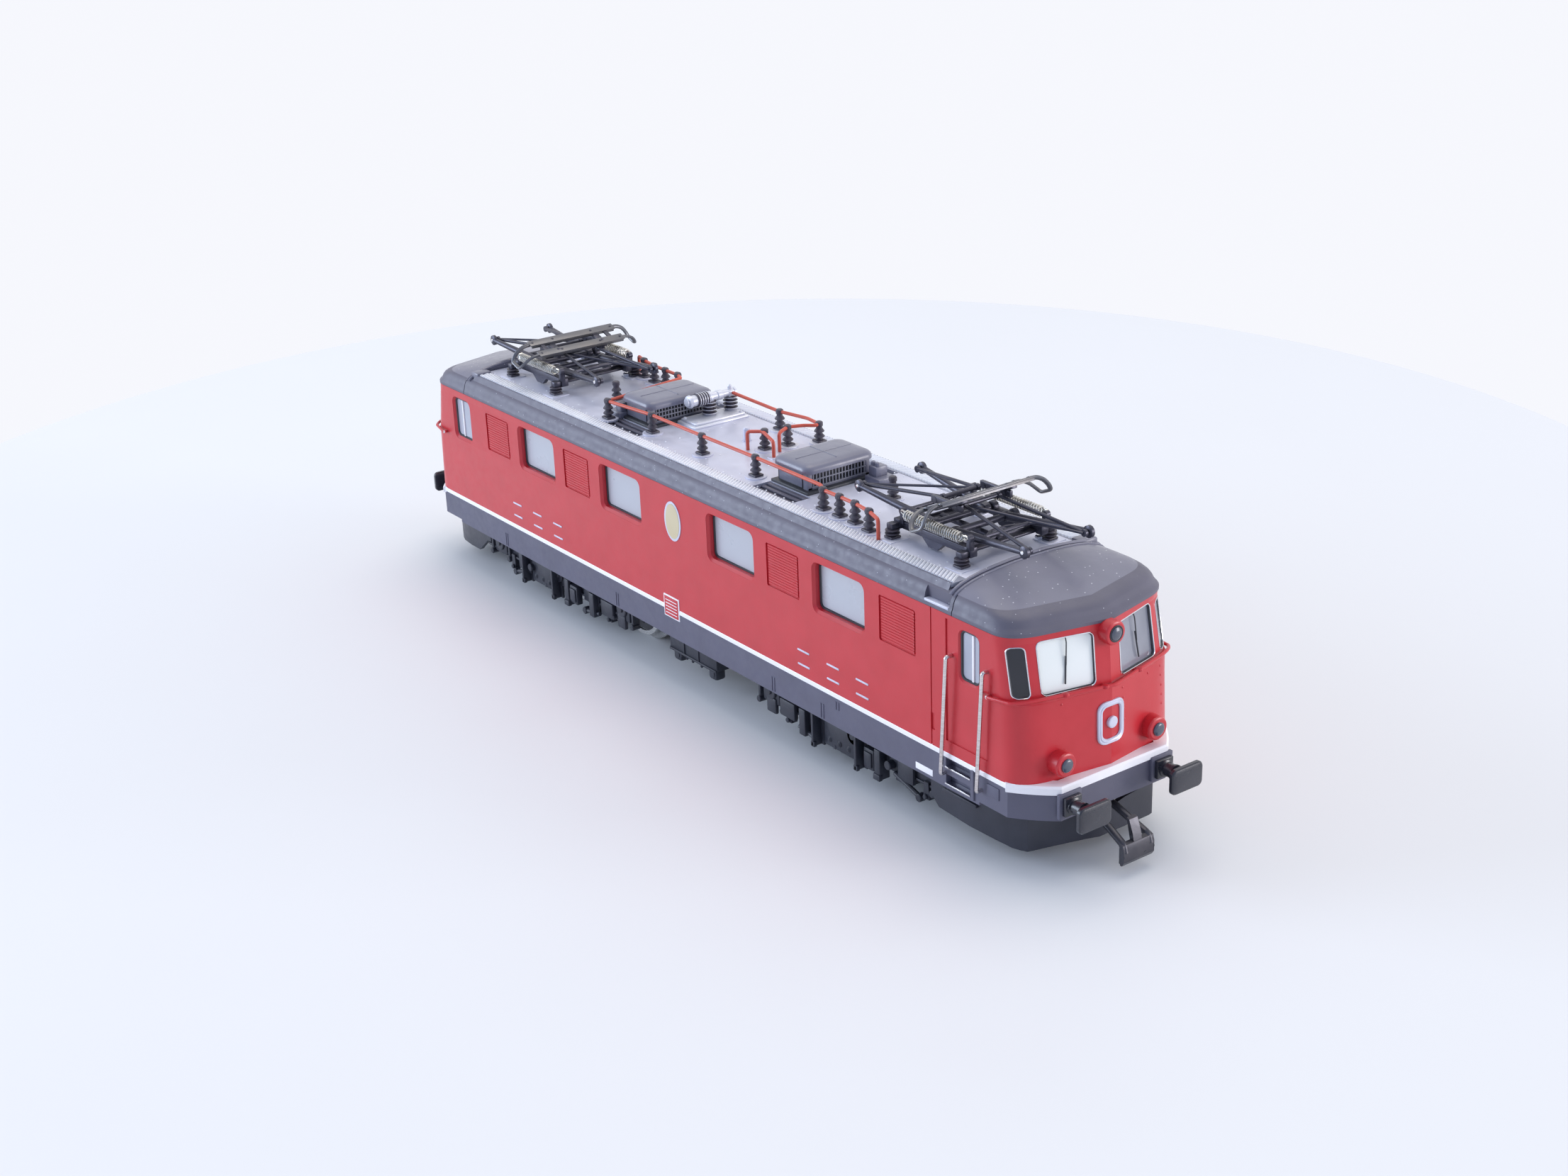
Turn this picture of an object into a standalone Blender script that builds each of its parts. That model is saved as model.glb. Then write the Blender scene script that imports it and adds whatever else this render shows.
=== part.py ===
"""A 1:87 model of a six-axle electric locomotive, as an assembly of separate pieces.

Named sizes are in millimetres and become metres in the helpers below.
+X is forward, +Y is the locomotive's left side, +Z is up. The origin lies on the floor under the
wheel flanges, in the middle of the locomotive, which looks the same when turned half round about Z.
"""
import math

import bmesh
import bpy
from mathutils import Matrix, Vector

MM = 0.001
GAP = 0.15                      # air between neighbouring pieces

# Body
LENGTH_OVER_BUFFERS = 211.5
HALF_WIDTH = 17.05
WALL = 1.6
SKIRT_BOTTOM = 10.1
BEAM_BOTTOM = 11.1
BEAM_FRONT = 99.35
DECK_TOP = 16.6
BODY_TOP = 40.7
ROOF_TOP = 44.5
DOME_TOP = 46.4
DOME_BACK = 78.4
PANEL_TOP = 45.2

# Openings in the long sides, as (low x, high x) of the front half; the rear half mirrors them
WINDOW_SPANS = ((11.5, 25.4), (43.4, 57.0))
WINDOW_HEIGHTS = (30.5, 39.1)
LOUVRE_SPANS = ((29.7, 39.2), (61.3, 70.7))
LOUVRE_HEIGHTS = (30.8, 38.9)
DOOR_WINDOW = (81.2, 86.0)
CAB_WINDOW = (78.0, 84.9)
STEP_SPAN = (78.2, 84.8)

# Running gear
PIVOT_X = 50.0
AXLE_PITCH = 24.7
AXLE_HEIGHT = 8.45
TREAD_RADIUS = 7.25
FLANGE_RADIUS = 8.45
WHEEL_SIDES = 12
SHAFT_HEIGHT = 19.0

# Buffers and couplers
BUFFER_SPREAD = 10.05
BUFFER_HEIGHT = 13.5
COUPLER_PIVOT = 36.5            # ahead of the bogie pivot

# Pantographs
FRONT_PANTOGRAPH_X = 64.6
REAR_PANTOGRAPH_X = -62.2
ARM_LENGTH = 18.3
ARM_PIVOT_X = 2.6
ARM_PIVOT_Z = 48.6
FRONT_ARM_ANGLE = 6.5           # degrees above level at rest, slightly raised
REAR_ARM_ANGLE = 4.6
FRONT_HEAD_TILT = -24.0         # degrees about the cross axis, front edge up when negative
REAR_HEAD_TILT = 20.0
FRONT_HEAD_LIFT = 0.6           # of the head's middle over the arms' top pivots
REAR_HEAD_LIFT = 1.5

POLY_STEPS = 4                  # points on each rounded body corner


# ---------------------------------------------------------------- scene and materials

def clear_scene():
    for scene_object in list(bpy.data.objects):
        bpy.data.objects.remove(scene_object, do_unlink=True)


def new_collection(name):
    collection = bpy.data.collections.new(name)
    bpy.context.scene.collection.children.link(collection)
    return collection


def new_material(name, colour, roughness, metallic=0.0):
    material = bpy.data.materials.new(name)
    material.use_nodes = True
    shader = material.node_tree.nodes["Principled BSDF"]
    shader.inputs["Base Color"].default_value = (*colour, 1.0)
    shader.inputs["Roughness"].default_value = roughness
    shader.inputs["Metallic"].default_value = metallic
    material.diffuse_color = (*colour, 1.0)
    return material


clear_scene()
PARTS = new_collection("model_electric_locomotive")

RED = new_material("red_enamel", (0.50, 0.035, 0.04), 0.35)
GREY = new_material("roof_grey", (0.10, 0.11, 0.13), 0.5)
SILVER = new_material("silver_paint", (0.55, 0.57, 0.62), 0.4, 0.3)
BLACK = new_material("black_moulding", (0.02, 0.02, 0.025), 0.5)
STEEL = new_material("dark_steel", (0.10, 0.11, 0.14), 0.4, 0.8)
BRIGHT = new_material("bright_steel", (0.75, 0.75, 0.76), 0.25, 1.0)
SPRING = new_material("spring_brass", (0.60, 0.55, 0.42), 0.3, 1.0)
ORANGE = new_material("busbar_red", (0.70, 0.14, 0.06), 0.4)
CLEAR = new_material("clear_moulding", (0.80, 0.84, 0.86), 0.15)
DIECAST = new_material("diecast_metal", (0.35, 0.35, 0.37), 0.5, 0.8)
BOARD = new_material("circuit_green", (0.03, 0.20, 0.08), 0.5)


# ---------------------------------------------------------------- shape helpers

def link_mesh(name, mesh, material=None):
    piece = bpy.data.objects.new(name, mesh)
    PARTS.objects.link(piece)
    if material:
        piece.data.materials.clear()
        piece.data.materials.append(material)
    return piece


def mesh_piece(name, builder):
    bmesh.ops.recalc_face_normals(builder, faces=builder.faces)
    mesh = bpy.data.meshes.new(name)
    builder.to_mesh(mesh)
    builder.free()
    return link_mesh(name, mesh)


def block(low, high, round_axis=None, radius=0.0, steps=1):
    """A box between two corners; round_axis rounds the four edges along that axis."""
    low, high = Vector(low) * MM, Vector(high) * MM
    builder = bmesh.new()
    size = high - low
    placing = Matrix.Translation((low + high) / 2) @ Matrix.Diagonal((*size, 1.0))
    bmesh.ops.create_cube(builder, size=1.0, matrix=placing)
    if round_axis:
        along = "xyz".index(round_axis)
        edges = [edge for edge in builder.edges
                 if abs((edge.verts[0].co - edge.verts[1].co)[along]) > 0.9 * size[along]]
        bmesh.ops.bevel(builder, geom=edges, offset=radius * MM, segments=steps, affect="EDGES",
                        profile=0.5)
    return mesh_piece("block", builder)


def rod(start, end, radius, sides=8, end_radius=None):
    """A round bar, or a cone when end_radius is given, between two points."""
    start, end = Vector(start) * MM, Vector(end) * MM
    along = end - start
    builder = bmesh.new()
    turn = along.to_track_quat("Z", "Y").to_matrix().to_4x4()
    bmesh.ops.create_cone(builder, cap_ends=True, segments=sides, radius1=radius * MM,
                          radius2=(radius if end_radius is None else end_radius) * MM,
                          depth=along.length,
                          matrix=Matrix.Translation((start + end) / 2) @ turn)
    return mesh_piece("rod", builder)


def to_mesh(source):
    """Replace a curve, or an object with modifiers, by its evaluated and welded mesh."""
    bpy.context.view_layer.update()
    evaluated = source.evaluated_get(bpy.context.evaluated_depsgraph_get())
    mesh = bpy.data.meshes.new_from_object(evaluated)
    placing = source.matrix_world.copy()
    bpy.data.objects.remove(source, do_unlink=True)
    builder = bmesh.new()
    builder.from_mesh(mesh)
    bmesh.ops.remove_doubles(builder, verts=builder.verts, dist=0.002 * MM)
    bmesh.ops.transform(builder, matrix=placing, verts=builder.verts)
    return mesh_piece("mesh", builder)


def wire(points, radius, fineness=1):
    """A bent round wire through the points."""
    curve = bpy.data.curves.new("wire", "CURVE")
    curve.dimensions = "3D"
    curve.bevel_depth = radius * MM
    curve.bevel_resolution = fineness
    curve.use_fill_caps = True
    spline = curve.splines.new("POLY")
    spline.points.add(len(points) - 1)
    for target, point in zip(spline.points, points):
        target.co = (*(Vector(point) * MM), 1.0)
    return to_mesh(link_mesh("wire", curve))


def turned(profile, centre, axis="Z", sides=8):
    """A turned solid; the profile is (radius, height) pairs from the top end down to the bottom."""
    mesh = bpy.data.meshes.new("profile")
    points = [(radius * MM, 0.0, height * MM) for radius, height in profile]
    mesh.from_pydata(points, [(i, i + 1) for i in range(len(points) - 1)], [])
    source = link_mesh("profile", mesh)
    screw = source.modifiers.new("turn", "SCREW")
    screw.steps = sides
    screw.render_steps = sides
    screw.use_merge_vertices = True
    screw.merge_threshold = 0.002 * MM
    turns = {"Z": Matrix.Identity(4), "X": Matrix.Rotation(math.pi / 2, 4, "Y"),
             "Y": Matrix.Rotation(-math.pi / 2, 4, "X")}
    spin = Matrix.Rotation(math.pi / sides, 4, "Z")
    source.matrix_world = Matrix.Translation(Vector(centre) * MM) @ turns[axis] @ spin
    return to_mesh(source)


def loft(rings):
    """A closed solid through rings of equally many points, each ring a closed outline."""
    builder = bmesh.new()
    layers = [[builder.verts.new(Vector(point) * MM) for point in ring] for ring in rings]
    count = len(rings[0])
    for lower, upper in zip(layers, layers[1:]):
        for i in range(count):
            j = (i + 1) % count
            builder.faces.new((lower[i], lower[j], upper[j], upper[i]))
    builder.faces.new(layers[0])
    builder.faces.new(layers[-1])
    return mesh_piece("loft", builder)


def boolean(target, tool, operation):
    modifier = target.modifiers.new("boolean", "BOOLEAN")
    modifier.operation = operation
    modifier.object = tool
    result = to_mesh(target)
    bpy.data.objects.remove(tool, do_unlink=True)
    return result


def union(pieces):
    result = pieces[0]
    for piece in pieces[1:]:
        result = boolean(result, piece, "UNION")
    return result


def cut(target, tools):
    for tool in tools:
        target = boolean(target, tool, "DIFFERENCE")
    return target


def finish(piece, name, material, origin=(0, 0, 0), sharp=35):
    """Name a piece, give it its material and put its origin on its joint axis."""
    origin = Vector(origin) * MM
    piece.name = name
    piece.data.name = name
    piece.data.materials.clear()
    piece.data.materials.append(material)
    piece.data.transform(Matrix.Translation(-origin))
    piece.location = origin
    piece.data.shade_smooth()
    piece.data.set_sharp_from_angle(angle=math.radians(sharp))
    return piece


def half_turn(piece, name):
    """A copy that shares the mesh, turned half round about the locomotive's middle."""
    other = bpy.data.objects.new(name, piece.data)
    PARTS.objects.link(other)
    other.location = (-piece.location.x, -piece.location.y, piece.location.z)
    other.rotation_euler.z = math.pi
    return other


# ---------------------------------------------------------------- body outline

def end_outline(height, side_end, corner, ridge_x, half_width=HALF_WIDTH, roundness=1.0, inset=0.0):
    """One horizontal slice of the body: straight sides, rounded corners and a blunt V at each end."""
    width = half_width - inset
    corner_x, corner_y = corner[0] - inset, corner[1] - 0.6 * inset
    ridge_x = ridge_x - inset
    reach = (width - corner_y) / corner_y
    control_x = corner_x - reach * (ridge_x - corner_x)
    arc = []
    for step in range(POLY_STEPS + 1):
        t = step / POLY_STEPS
        bend_x = (1 - t) ** 2 * side_end + 2 * t * (1 - t) * control_x + t * t * corner_x
        bend_y = (1 - t) ** 2 * width + 2 * t * (1 - t) * width + t * t * corner_y
        chord_x = (1 - t) * side_end + t * corner_x
        chord_y = (1 - t) * width + t * corner_y
        arc.append((chord_x + roundness * (bend_x - chord_x), chord_y + roundness * (bend_y - chord_y)))
    front = [(x, -y) for x, y in arc] + [(ridge_x, 0.0)] + list(reversed(arc))
    rear = [(-x, -y) for x, y in front]
    return [(x, y, height) for x, y in front + rear]


def beam(height, inset=0.0):
    return end_outline(height, 93.0, (BEAM_FRONT, 11.5), BEAM_FRONT, roundness=0.15, inset=inset)


def lower_body(height, inset=0.0):
    return end_outline(height, 91.5, (97.0, 10.5), 98.4, inset=inset)


def belt(height, inset=0.0):
    return end_outline(height, 91.0, (95.7, 11.5), 98.3, inset=inset)


def brow(height, inset=0.0):
    return end_outline(height, 89.0, (94.2, 11.5), 97.3, inset=inset)


# ---------------------------------------------------------------- body shell

def side_window_cutters():
    """Cutters through both long sides for the machine room, door and cab side windows."""
    low_z, high_z = WINDOW_HEIGHTS
    spans = [(a, b, side) for a, b in WINDOW_SPANS for side in (-1, 1)]
    spans += [(-b, -a, side) for a, b in WINDOW_SPANS for side in (-1, 1)]
    door, cab = DOOR_WINDOW, CAB_WINDOW
    spans += [(*door, -1), (-door[1], -door[0], 1), (*cab, 1), (-cab[1], -cab[0], -1)]
    cutters = []
    for low_x, high_x, side in spans:
        y = sorted((side * (HALF_WIDTH - 4.0), side * (HALF_WIDTH + 1.0)))
        cutters.append(block((low_x, y[0], low_z), (high_x, y[1], high_z), "y", 1.1))
    return cutters


def end_window_cutters():
    """Cutters for the two windscreens and the two corner windows at each end."""
    cutters = []
    for end in (1, -1):
        for side in (1, -1):
            y = sorted((side * 2.8, side * 12.0))
            x = sorted((end * 91.0, end * 101.0))
            cutters.append(block((x[0], y[0], 31.2), (x[1], y[1], 39.6), "x", 0.8))
            pane = block((-2.0, -1.35, 31.2), (4.0, 1.35, 38.6), "x", 0.8)
            turn = math.radians(side * end * 52) + (math.pi if end < 0 else 0.0)
            pane.data.transform(Matrix.Translation(Vector((end * 92.6, side * 15.2, 0)) * MM)
                                @ Matrix.Rotation(turn, 4, "Z"))
            cutters.append(pane)
    return cutters


LAMPS = ((9.99, 19.8, 2.1, 96.0, 98.9), (-9.99, 19.8, 2.1, 96.0, 98.9), (0.0, 39.3, 2.1, 96.2, 98.8))
LAMP_BORE = 1.4
LENS_RADIUS = 1.25


def build_body_shell():
    skirt = loft([beam(SKIRT_BOTTOM), beam(DECK_TOP)])
    outer = loft([lower_body(14.0), lower_body(24.0), belt(30.4), belt(31.2), brow(39.6), brow(BODY_TOP)])
    inner = loft([lower_body(SKIRT_BOTTOM - 1.0, WALL), lower_body(24.0, WALL), belt(31.0, WALL),
                  brow(BODY_TOP + 1.0, WALL)])
    housings = []
    for end in (1, -1):
        for y, z, radius, start, stop in LAMPS:
            housings.append(rod((end * start, y, z), (end * stop, y, z), radius, 16))
    shell = union([outer, skirt] + housings)
    tools = [inner] + side_window_cutters() + end_window_cutters()
    for end in (1, -1):
        tools.append(block((end * 94 - 8, -20, 9), (end * 94 + 8, 20, BEAM_BOTTOM)))
        for y, z, radius, start, stop in LAMPS:
            tools.append(rod((end * 90, y, z), (end * 101, y, z), LAMP_BORE, 12))
        low, high = sorted((end * STEP_SPAN[0], end * STEP_SPAN[1]))
        depth = sorted((-end * (HALF_WIDTH - 1.3), -end * (HALF_WIDTH + 1)))
        tools.append(block((low, depth[0], 11.6), (high, depth[1], 15.5)))
        for span in LOUVRE_SPANS:
            low, high = sorted((end * span[0], end * span[1]))
            for side in (1, -1):
                depth = sorted((side * (HALF_WIDTH - 0.35), side * (HALF_WIDTH + 1)))
                tools.append(block((low, depth[0], LOUVRE_HEIGHTS[0]), (high, depth[1], LOUVRE_HEIGHTS[1])))
    shell = cut(shell, tools)
    treads = []
    for end in (1, -1):
        low, high = sorted((end * (STEP_SPAN[0] - 0.2), end * (STEP_SPAN[1] + 0.2)))
        depth = sorted((-end * (HALF_WIDTH - 1.6), -end * (HALF_WIDTH + 0.35)))
        for top in (13.8, 11.4):
            treads.append(block((low, depth[0], top - 0.6), (high, depth[1], top)))
    return finish(union([shell] + treads), "body_shell", RED)


# ---------------------------------------------------------------- glazing

def build_side_glazing():
    """A clear strip behind the windows of one long side."""
    low = HALF_WIDTH - WALL - GAP - 0.9
    high = HALF_WIDTH - WALL - GAP
    left = block((-87.2, low, 29.4), (87.2, high, 40.2))
    finish(left, "side_glazing_left", CLEAR)
    half_turn(left, "side_glazing_right")


def build_cab_glazing():
    """The clear moulding inside a cab: windscreens, corner windows and the three lamp lenses."""
    skin = WALL + GAP
    outer = loft([lower_body(17.4, skin), lower_body(24.0, skin), belt(31.0, skin), brow(40.5, skin)])
    inner = loft([lower_body(16.4, skin + 1.0), lower_body(24.0, skin + 1.0), belt(31.0, skin + 1.0),
                  brow(41.5, skin + 1.0)])
    shell = cut(outer, [inner, block((-120, -20, 0), (88.2, 20, 60))])
    lenses = []
    for y, z, radius, start, stop in LAMPS:
        lenses.append(rod((94.6 if z < 30 else 94.4, y, z), (stop + 0.5, y, z), LENS_RADIUS, 12))
    front = finish(union([shell] + lenses), "cab_glazing_front", CLEAR)
    half_turn(front, "cab_glazing_rear")


# ---------------------------------------------------------------- roof

# Height, half width and ridge length of the roof moulding, from the gutter to the cab domes
ROOF_SECTION = ((BODY_TOP - 1.0, 17.05, 97.2), (BODY_TOP + GAP, 17.05, 97.2), (42.0, 16.9, 96.8),
                (43.2, 16.5, 95.5), (44.2, 15.9, 93.8), (45.0, 15.2, 91.6), (45.6, 13.4, 89.2),
                (46.1, 11.2, 86.0), (DOME_TOP, 8.6, 81.5))


def roof_outline(row, inset=0.0):
    """A slice of the grey roof moulding, whose sides lean in over the rain gutter."""
    height, width, ridge = row
    corner_y = min(11.5, 0.72 * width)
    return end_outline(height, max(ridge - 8.2, 79.2), (ridge - 2.7, corner_y), ridge,
                       half_width=width, inset=inset)


def build_roof_shell():
    base_rows = [*ROOF_SECTION[1:5], (ROOF_TOP, 15.7, 93.0)]
    hollow_rows = [ROOF_SECTION[0], *ROOF_SECTION[2:4]]
    base = loft([roof_outline(row) for row in base_rows])
    _, lamp_z, lamp_radius, _, _ = LAMPS[2]
    notches = [rod((end * 90, 0, lamp_z), (end * 101, 0, lamp_z), lamp_radius + GAP, 16) for end in (1, -1)]
    base = cut(base, [loft([roof_outline(row, 1.3) for row in hollow_rows])] + notches)
    domes = loft([roof_outline(row) for row in ROOF_SECTION[4:]])
    domes = cut(domes, [block((-DOME_BACK, -20, 40), (DOME_BACK, 20, 50))])
    return finish(union([base, domes]), "roof_shell", GREY, sharp=25)


INSULATOR = ((0.0, 3.9), (0.5, 3.9), (0.5, 2.6), (1.05, 1.9), (0.6, 0.6), (1.35, 0.55), (1.35, 0.0),
             (0.0, 0.0))
MAIN_LINE = ((-32.0, -10.2), (-18.5, -8.7), (-1.4, -8.7), (15.4, -8.5),
             (37.4, -9.9), (42.0, -9.9), (46.4, -10.0), (51.0, -10.6))
LINE_Z = PANEL_TOP + GAP
WIRE_Z = LINE_Z + 3.7
WIRE_RADIUS = 0.42


def insulator(x, y, z=LINE_Z):
    return turned(INSULATOR, (x, y, z), sides=6)


def roof_recess_cutters():
    cutters = []
    for end in (1, -1):
        for side in (1, -1):
            x = sorted((end * 20.0, end * 31.0))
            y = sorted((side * 7.4, side * 11.7))
            cutters.append(block((x[0], y[0], 40), (x[1], y[1], 50)))
    return cutters


def build_roof_panel():
    """The silver roof panel with its two walkway strips and the pieces that grow out of it."""
    low = ROOF_TOP + GAP
    panel = block((-DOME_BACK + 0.6, -15.2, low), (DOME_BACK - 0.6, 15.2, PANEL_TOP))
    strips = [block((-DOME_BACK + 0.9, y - 1.6, low), (DOME_BACK - 0.9, y + 1.6, PANEL_TOP + 0.08))
              for y in (-13.4, 13.4)]
    posts = [insulator(x, y, PANEL_TOP - 0.3) for x, y in ((41.0, 2.6), (-41.0, -2.6), (4.2, 1.6))]
    stub = rod((-2.8, 2.4, PANEL_TOP - 0.3), (-2.8, 2.4, PANEL_TOP + 2.6), 0.7)
    hoop = wire([(2.0, -0.8, PANEL_TOP - 0.3), (2.0, -0.8, WIRE_Z - 0.6), (2.4, -0.4, WIRE_Z - 0.3),
                 (4.2, 1.2, WIRE_Z - 0.5), (8.8, 0.2, WIRE_Z - 0.6), (9.2, 0.0, WIRE_Z - 1.0),
                 (9.2, 0.0, PANEL_TOP - 0.3)], WIRE_RADIUS)
    panel = cut(union([panel] + strips), roof_recess_cutters())
    return finish(union([panel, stub] + posts + [hoop]), "roof_panel", SILVER)


def build_roof_line():
    """The high-voltage line along the roof, on its insulators, and its far branch at the rear."""
    x_first, y_first = MAIN_LINE[0]
    far = [(-x, -y) for x, y in reversed(MAIN_LINE[4:])]
    rear_start = (far[0][0] - 3.8, far[0][1] + 1.1)
    route = [(*rear_start, LINE_Z), (*rear_start, WIRE_Z - 0.4), (rear_start[0] + 0.5, rear_start[1], WIRE_Z)]
    route += [(x, y, WIRE_Z) for x, y in far]
    route += [(far[-1][0] + 2.2, far[-1][1] - 0.6, WIRE_Z), (x_first, y_first, WIRE_Z)]
    route += [(x, y, WIRE_Z) for x, y in MAIN_LINE[1:]]
    x_last, y_last = MAIN_LINE[-1]
    route += [(x_last + 3.4, y_last - 1.0, WIRE_Z - 0.1), (x_last + 3.8, y_last - 1.1, WIRE_Z - 0.5),
              (x_last + 3.8, y_last - 1.1, LINE_Z)]
    posts = [insulator(x, y) for x, y in far + list(MAIN_LINE)]
    return finish(union([wire(route, WIRE_RADIUS)] + posts), "roof_busbar", ORANGE)


BREAKER_FEET = ((-18.4, 4.6), (-18.4, 9.6))
BRANCH_POSTS = ((-3.6, 10.8), (7.6, 11.8), (5.2, 6.2))


def build_main_breaker():
    """The main circuit breaker on its base plate, and the branch line it feeds."""
    plate = block((-20.4, -1.2, LINE_Z), (-14.8, 11.0, LINE_Z + 0.8), "z", 0.5)
    rib = ((0.0, 3.9), (0.9, 3.9), (0.9, 3.2), (1.3, 2.7), (0.9, 2.2), (1.3, 1.7), (0.9, 1.2), (0.9, 0.0),
           (0.0, 0.0))
    feet = [turned(rib, (x, y, LINE_Z + 0.5), sides=8) for x, y in BREAKER_FEET]
    high = LINE_Z + 5.0
    barrel = rod((-18.4, -2.2, high), (-18.4, 3.7, high), 1.35, 10)
    chamber = rod((-18.4, 3.3, high), (-18.4, 10.6, high), 0.85, 10)
    top = [(-18.4, 9.8, high), (BRANCH_POSTS[0][0], BRANCH_POSTS[0][1], WIRE_Z),
           (3.5, 12.2, WIRE_Z), (BRANCH_POSTS[1][0] - 0.6, BRANCH_POSTS[1][1], WIRE_Z),
           (BRANCH_POSTS[1][0] + 0.6, BRANCH_POSTS[1][1] - 0.9, WIRE_Z),
           (6.4, 9.0, WIRE_Z), (BRANCH_POSTS[2][0], BRANCH_POSTS[2][1], WIRE_Z), (6.6, 3.6, WIRE_Z),
           (6.9, 3.0, WIRE_Z - 0.5), (6.9, 3.0, LINE_Z)]
    posts = [insulator(x, y) for x, y in BRANCH_POSTS]
    return finish(union([plate] + feet + [barrel, chamber, wire(top, WIRE_RADIUS)] + posts),
                  "main_breaker", SILVER)


def build_intake_hoods():
    """A hood with a slotted grille towards each end of the locomotive and a rounded lid."""
    low = LINE_Z
    box = block((20.0, -7.0, low), (29.0, 7.0, low + 3.9))
    lid = block((19.2, -7.7, low + 3.4), (29.8, 7.7, low + 5.0), "z", 1.6, 2)
    slots = []
    for row in (0, 1):
        for column in range(7):
            y = -5.6 + 1.64 * column
            z = low + 1.1 + 1.2 * row
            slots.append(block((28.5, y, z), (29.5, y + 1.3, z + 0.9)))
    hood = union([box, lid])
    all_slots = join_apart(slots)
    front = finish(cut(hood, [all_slots]), "intake_hood_front", GREY)
    rear = bpy.data.objects.new("intake_hood_rear", front.data)
    PARTS.objects.link(rear)
    rear.location = (-50.6 * MM, 0.0, 0.0)


def join_apart(pieces):
    """Put pieces that don't touch each other into one mesh, to cut with them in one go."""
    builder = bmesh.new()
    for piece in pieces:
        builder.from_mesh(piece.data)
        bpy.data.objects.remove(piece, do_unlink=True)
    return mesh_piece("apart", builder)


# ---------------------------------------------------------------- pantographs

def arm_tip(side, angle):
    """The knee of a lower arm at an angle above level; side is +1 for the forward arm."""
    x = side * (ARM_PIVOT_X + ARM_LENGTH * math.cos(angle))
    return x, ARM_PIVOT_Z + ARM_LENGTH * math.sin(angle)


PANTOGRAPH_FOOT = ((0.0, 2.2), (0.8, 2.2), (0.8, 1.9), (1.25, 1.4), (0.8, 0.9), (1.3, 0.6), (1.3, 0.0),
                   (0.0, 0.0))


SPRING_LEVERS = {1: (-9.2, 8.9), -1: (-7.8, 9.0)}       # where the two levers of each side start


def build_pantograph_base(name, centre):
    pieces = []
    for y in (-7.7, 7.7):
        side = 1 if y > 0 else -1
        pieces.append(block((centre - 9.6, y - 0.6, 46.9), (centre + 9.6, y + 0.6, 48.3)))
        pieces.append(block((centre - 1.6, y - 0.5, 45.7), (centre + 1.6, y + 0.5, 47.2)))
        bearing = sorted((side * 6.6, side * 7.9))
        for x in (-ARM_PIVOT_X, ARM_PIVOT_X):
            pieces.append(block((centre + x - 0.9, bearing[0], 47.8), (centre + x + 0.9, bearing[1], 49.5)))
        for x in SPRING_LEVERS[side]:
            pieces.append(block((centre + x, y - 0.1, 47.9), (centre + x + 0.8, y + side * 0.9 + 0.1, 50.6)))
        for x in (-8.8, 8.8):
            foot = turned(PANTOGRAPH_FOOT, (centre + x, side * 9.5, LINE_Z), sides=6)
            arm = sorted((side * 8.0, side * 9.9))
            pieces.append(foot)
            pieces.append(block((centre + x - 0.6, arm[0], 47.0), (centre + x + 0.6, arm[1], 47.9)))
    for x in (-7.5, 7.5):
        pieces.append(block((centre + x - 0.7, -7.5, 46.9), (centre + x + 0.7, 7.5, 47.6)))
    return finish(union(pieces), name, STEEL)


def build_lower_arm(name, centre, side, angle):
    knee_x, knee_z = arm_tip(side, angle)
    pivot = (centre + side * ARM_PIVOT_X, 0, ARM_PIVOT_Z)
    pieces = [rod((pivot[0], -6.2, pivot[2]), (pivot[0], 6.2, pivot[2]), 0.6, 8)]
    for y in (-1, 1):
        pieces.append(rod((pivot[0], y * 5.4, pivot[2]), (centre + knee_x, y * 6.9, knee_z), 0.7, 8,
                          0.5))
        pieces.append(rod((centre + knee_x, y * 6.5, knee_z), (centre + knee_x, y * 7.3, knee_z), 1.1, 10))
    middle_x = centre + side * ARM_PIVOT_X + 0.35 * (knee_x - side * ARM_PIVOT_X)
    middle_z = pivot[2] + 0.35 * (knee_z - pivot[2])
    pieces.append(rod((middle_x, -5.9, middle_z), (middle_x, 5.9, middle_z), 0.35, 6))
    return finish(union(pieces), name, STEEL, pivot)


def build_upper_arm(name, centre, side, angle):
    knee_x, knee_z = arm_tip(side, angle)
    knee = (centre + knee_x, 0, knee_z)
    top_x = centre + side * ARM_PIVOT_X
    top_z = 2 * knee_z - ARM_PIVOT_Z
    pieces = [rod((top_x, -4.3, top_z), (top_x, 4.3, top_z), 0.4, 6)]
    for y in (-1, 1):
        pieces.append(rod((knee[0], y * 5.6, knee_z), (knee[0], y * 6.2, knee_z), 0.5, 6))
        pieces.append(rod((knee[0], y * 5.9, knee_z), (top_x, y * 3.6, top_z), 0.33, 6))
    pieces.append(rod((knee[0], side * 5.7, knee_z), (top_x, side * -3.4, top_z), 0.25, 6))
    return finish(union(pieces), name, STEEL, knee)


HEAD_HALF_GAUGE = 2.0           # half the distance between the two contact strips
HEAD_FORWARD = 2.0              # of the head's middle ahead of the pantograph's middle


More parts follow.
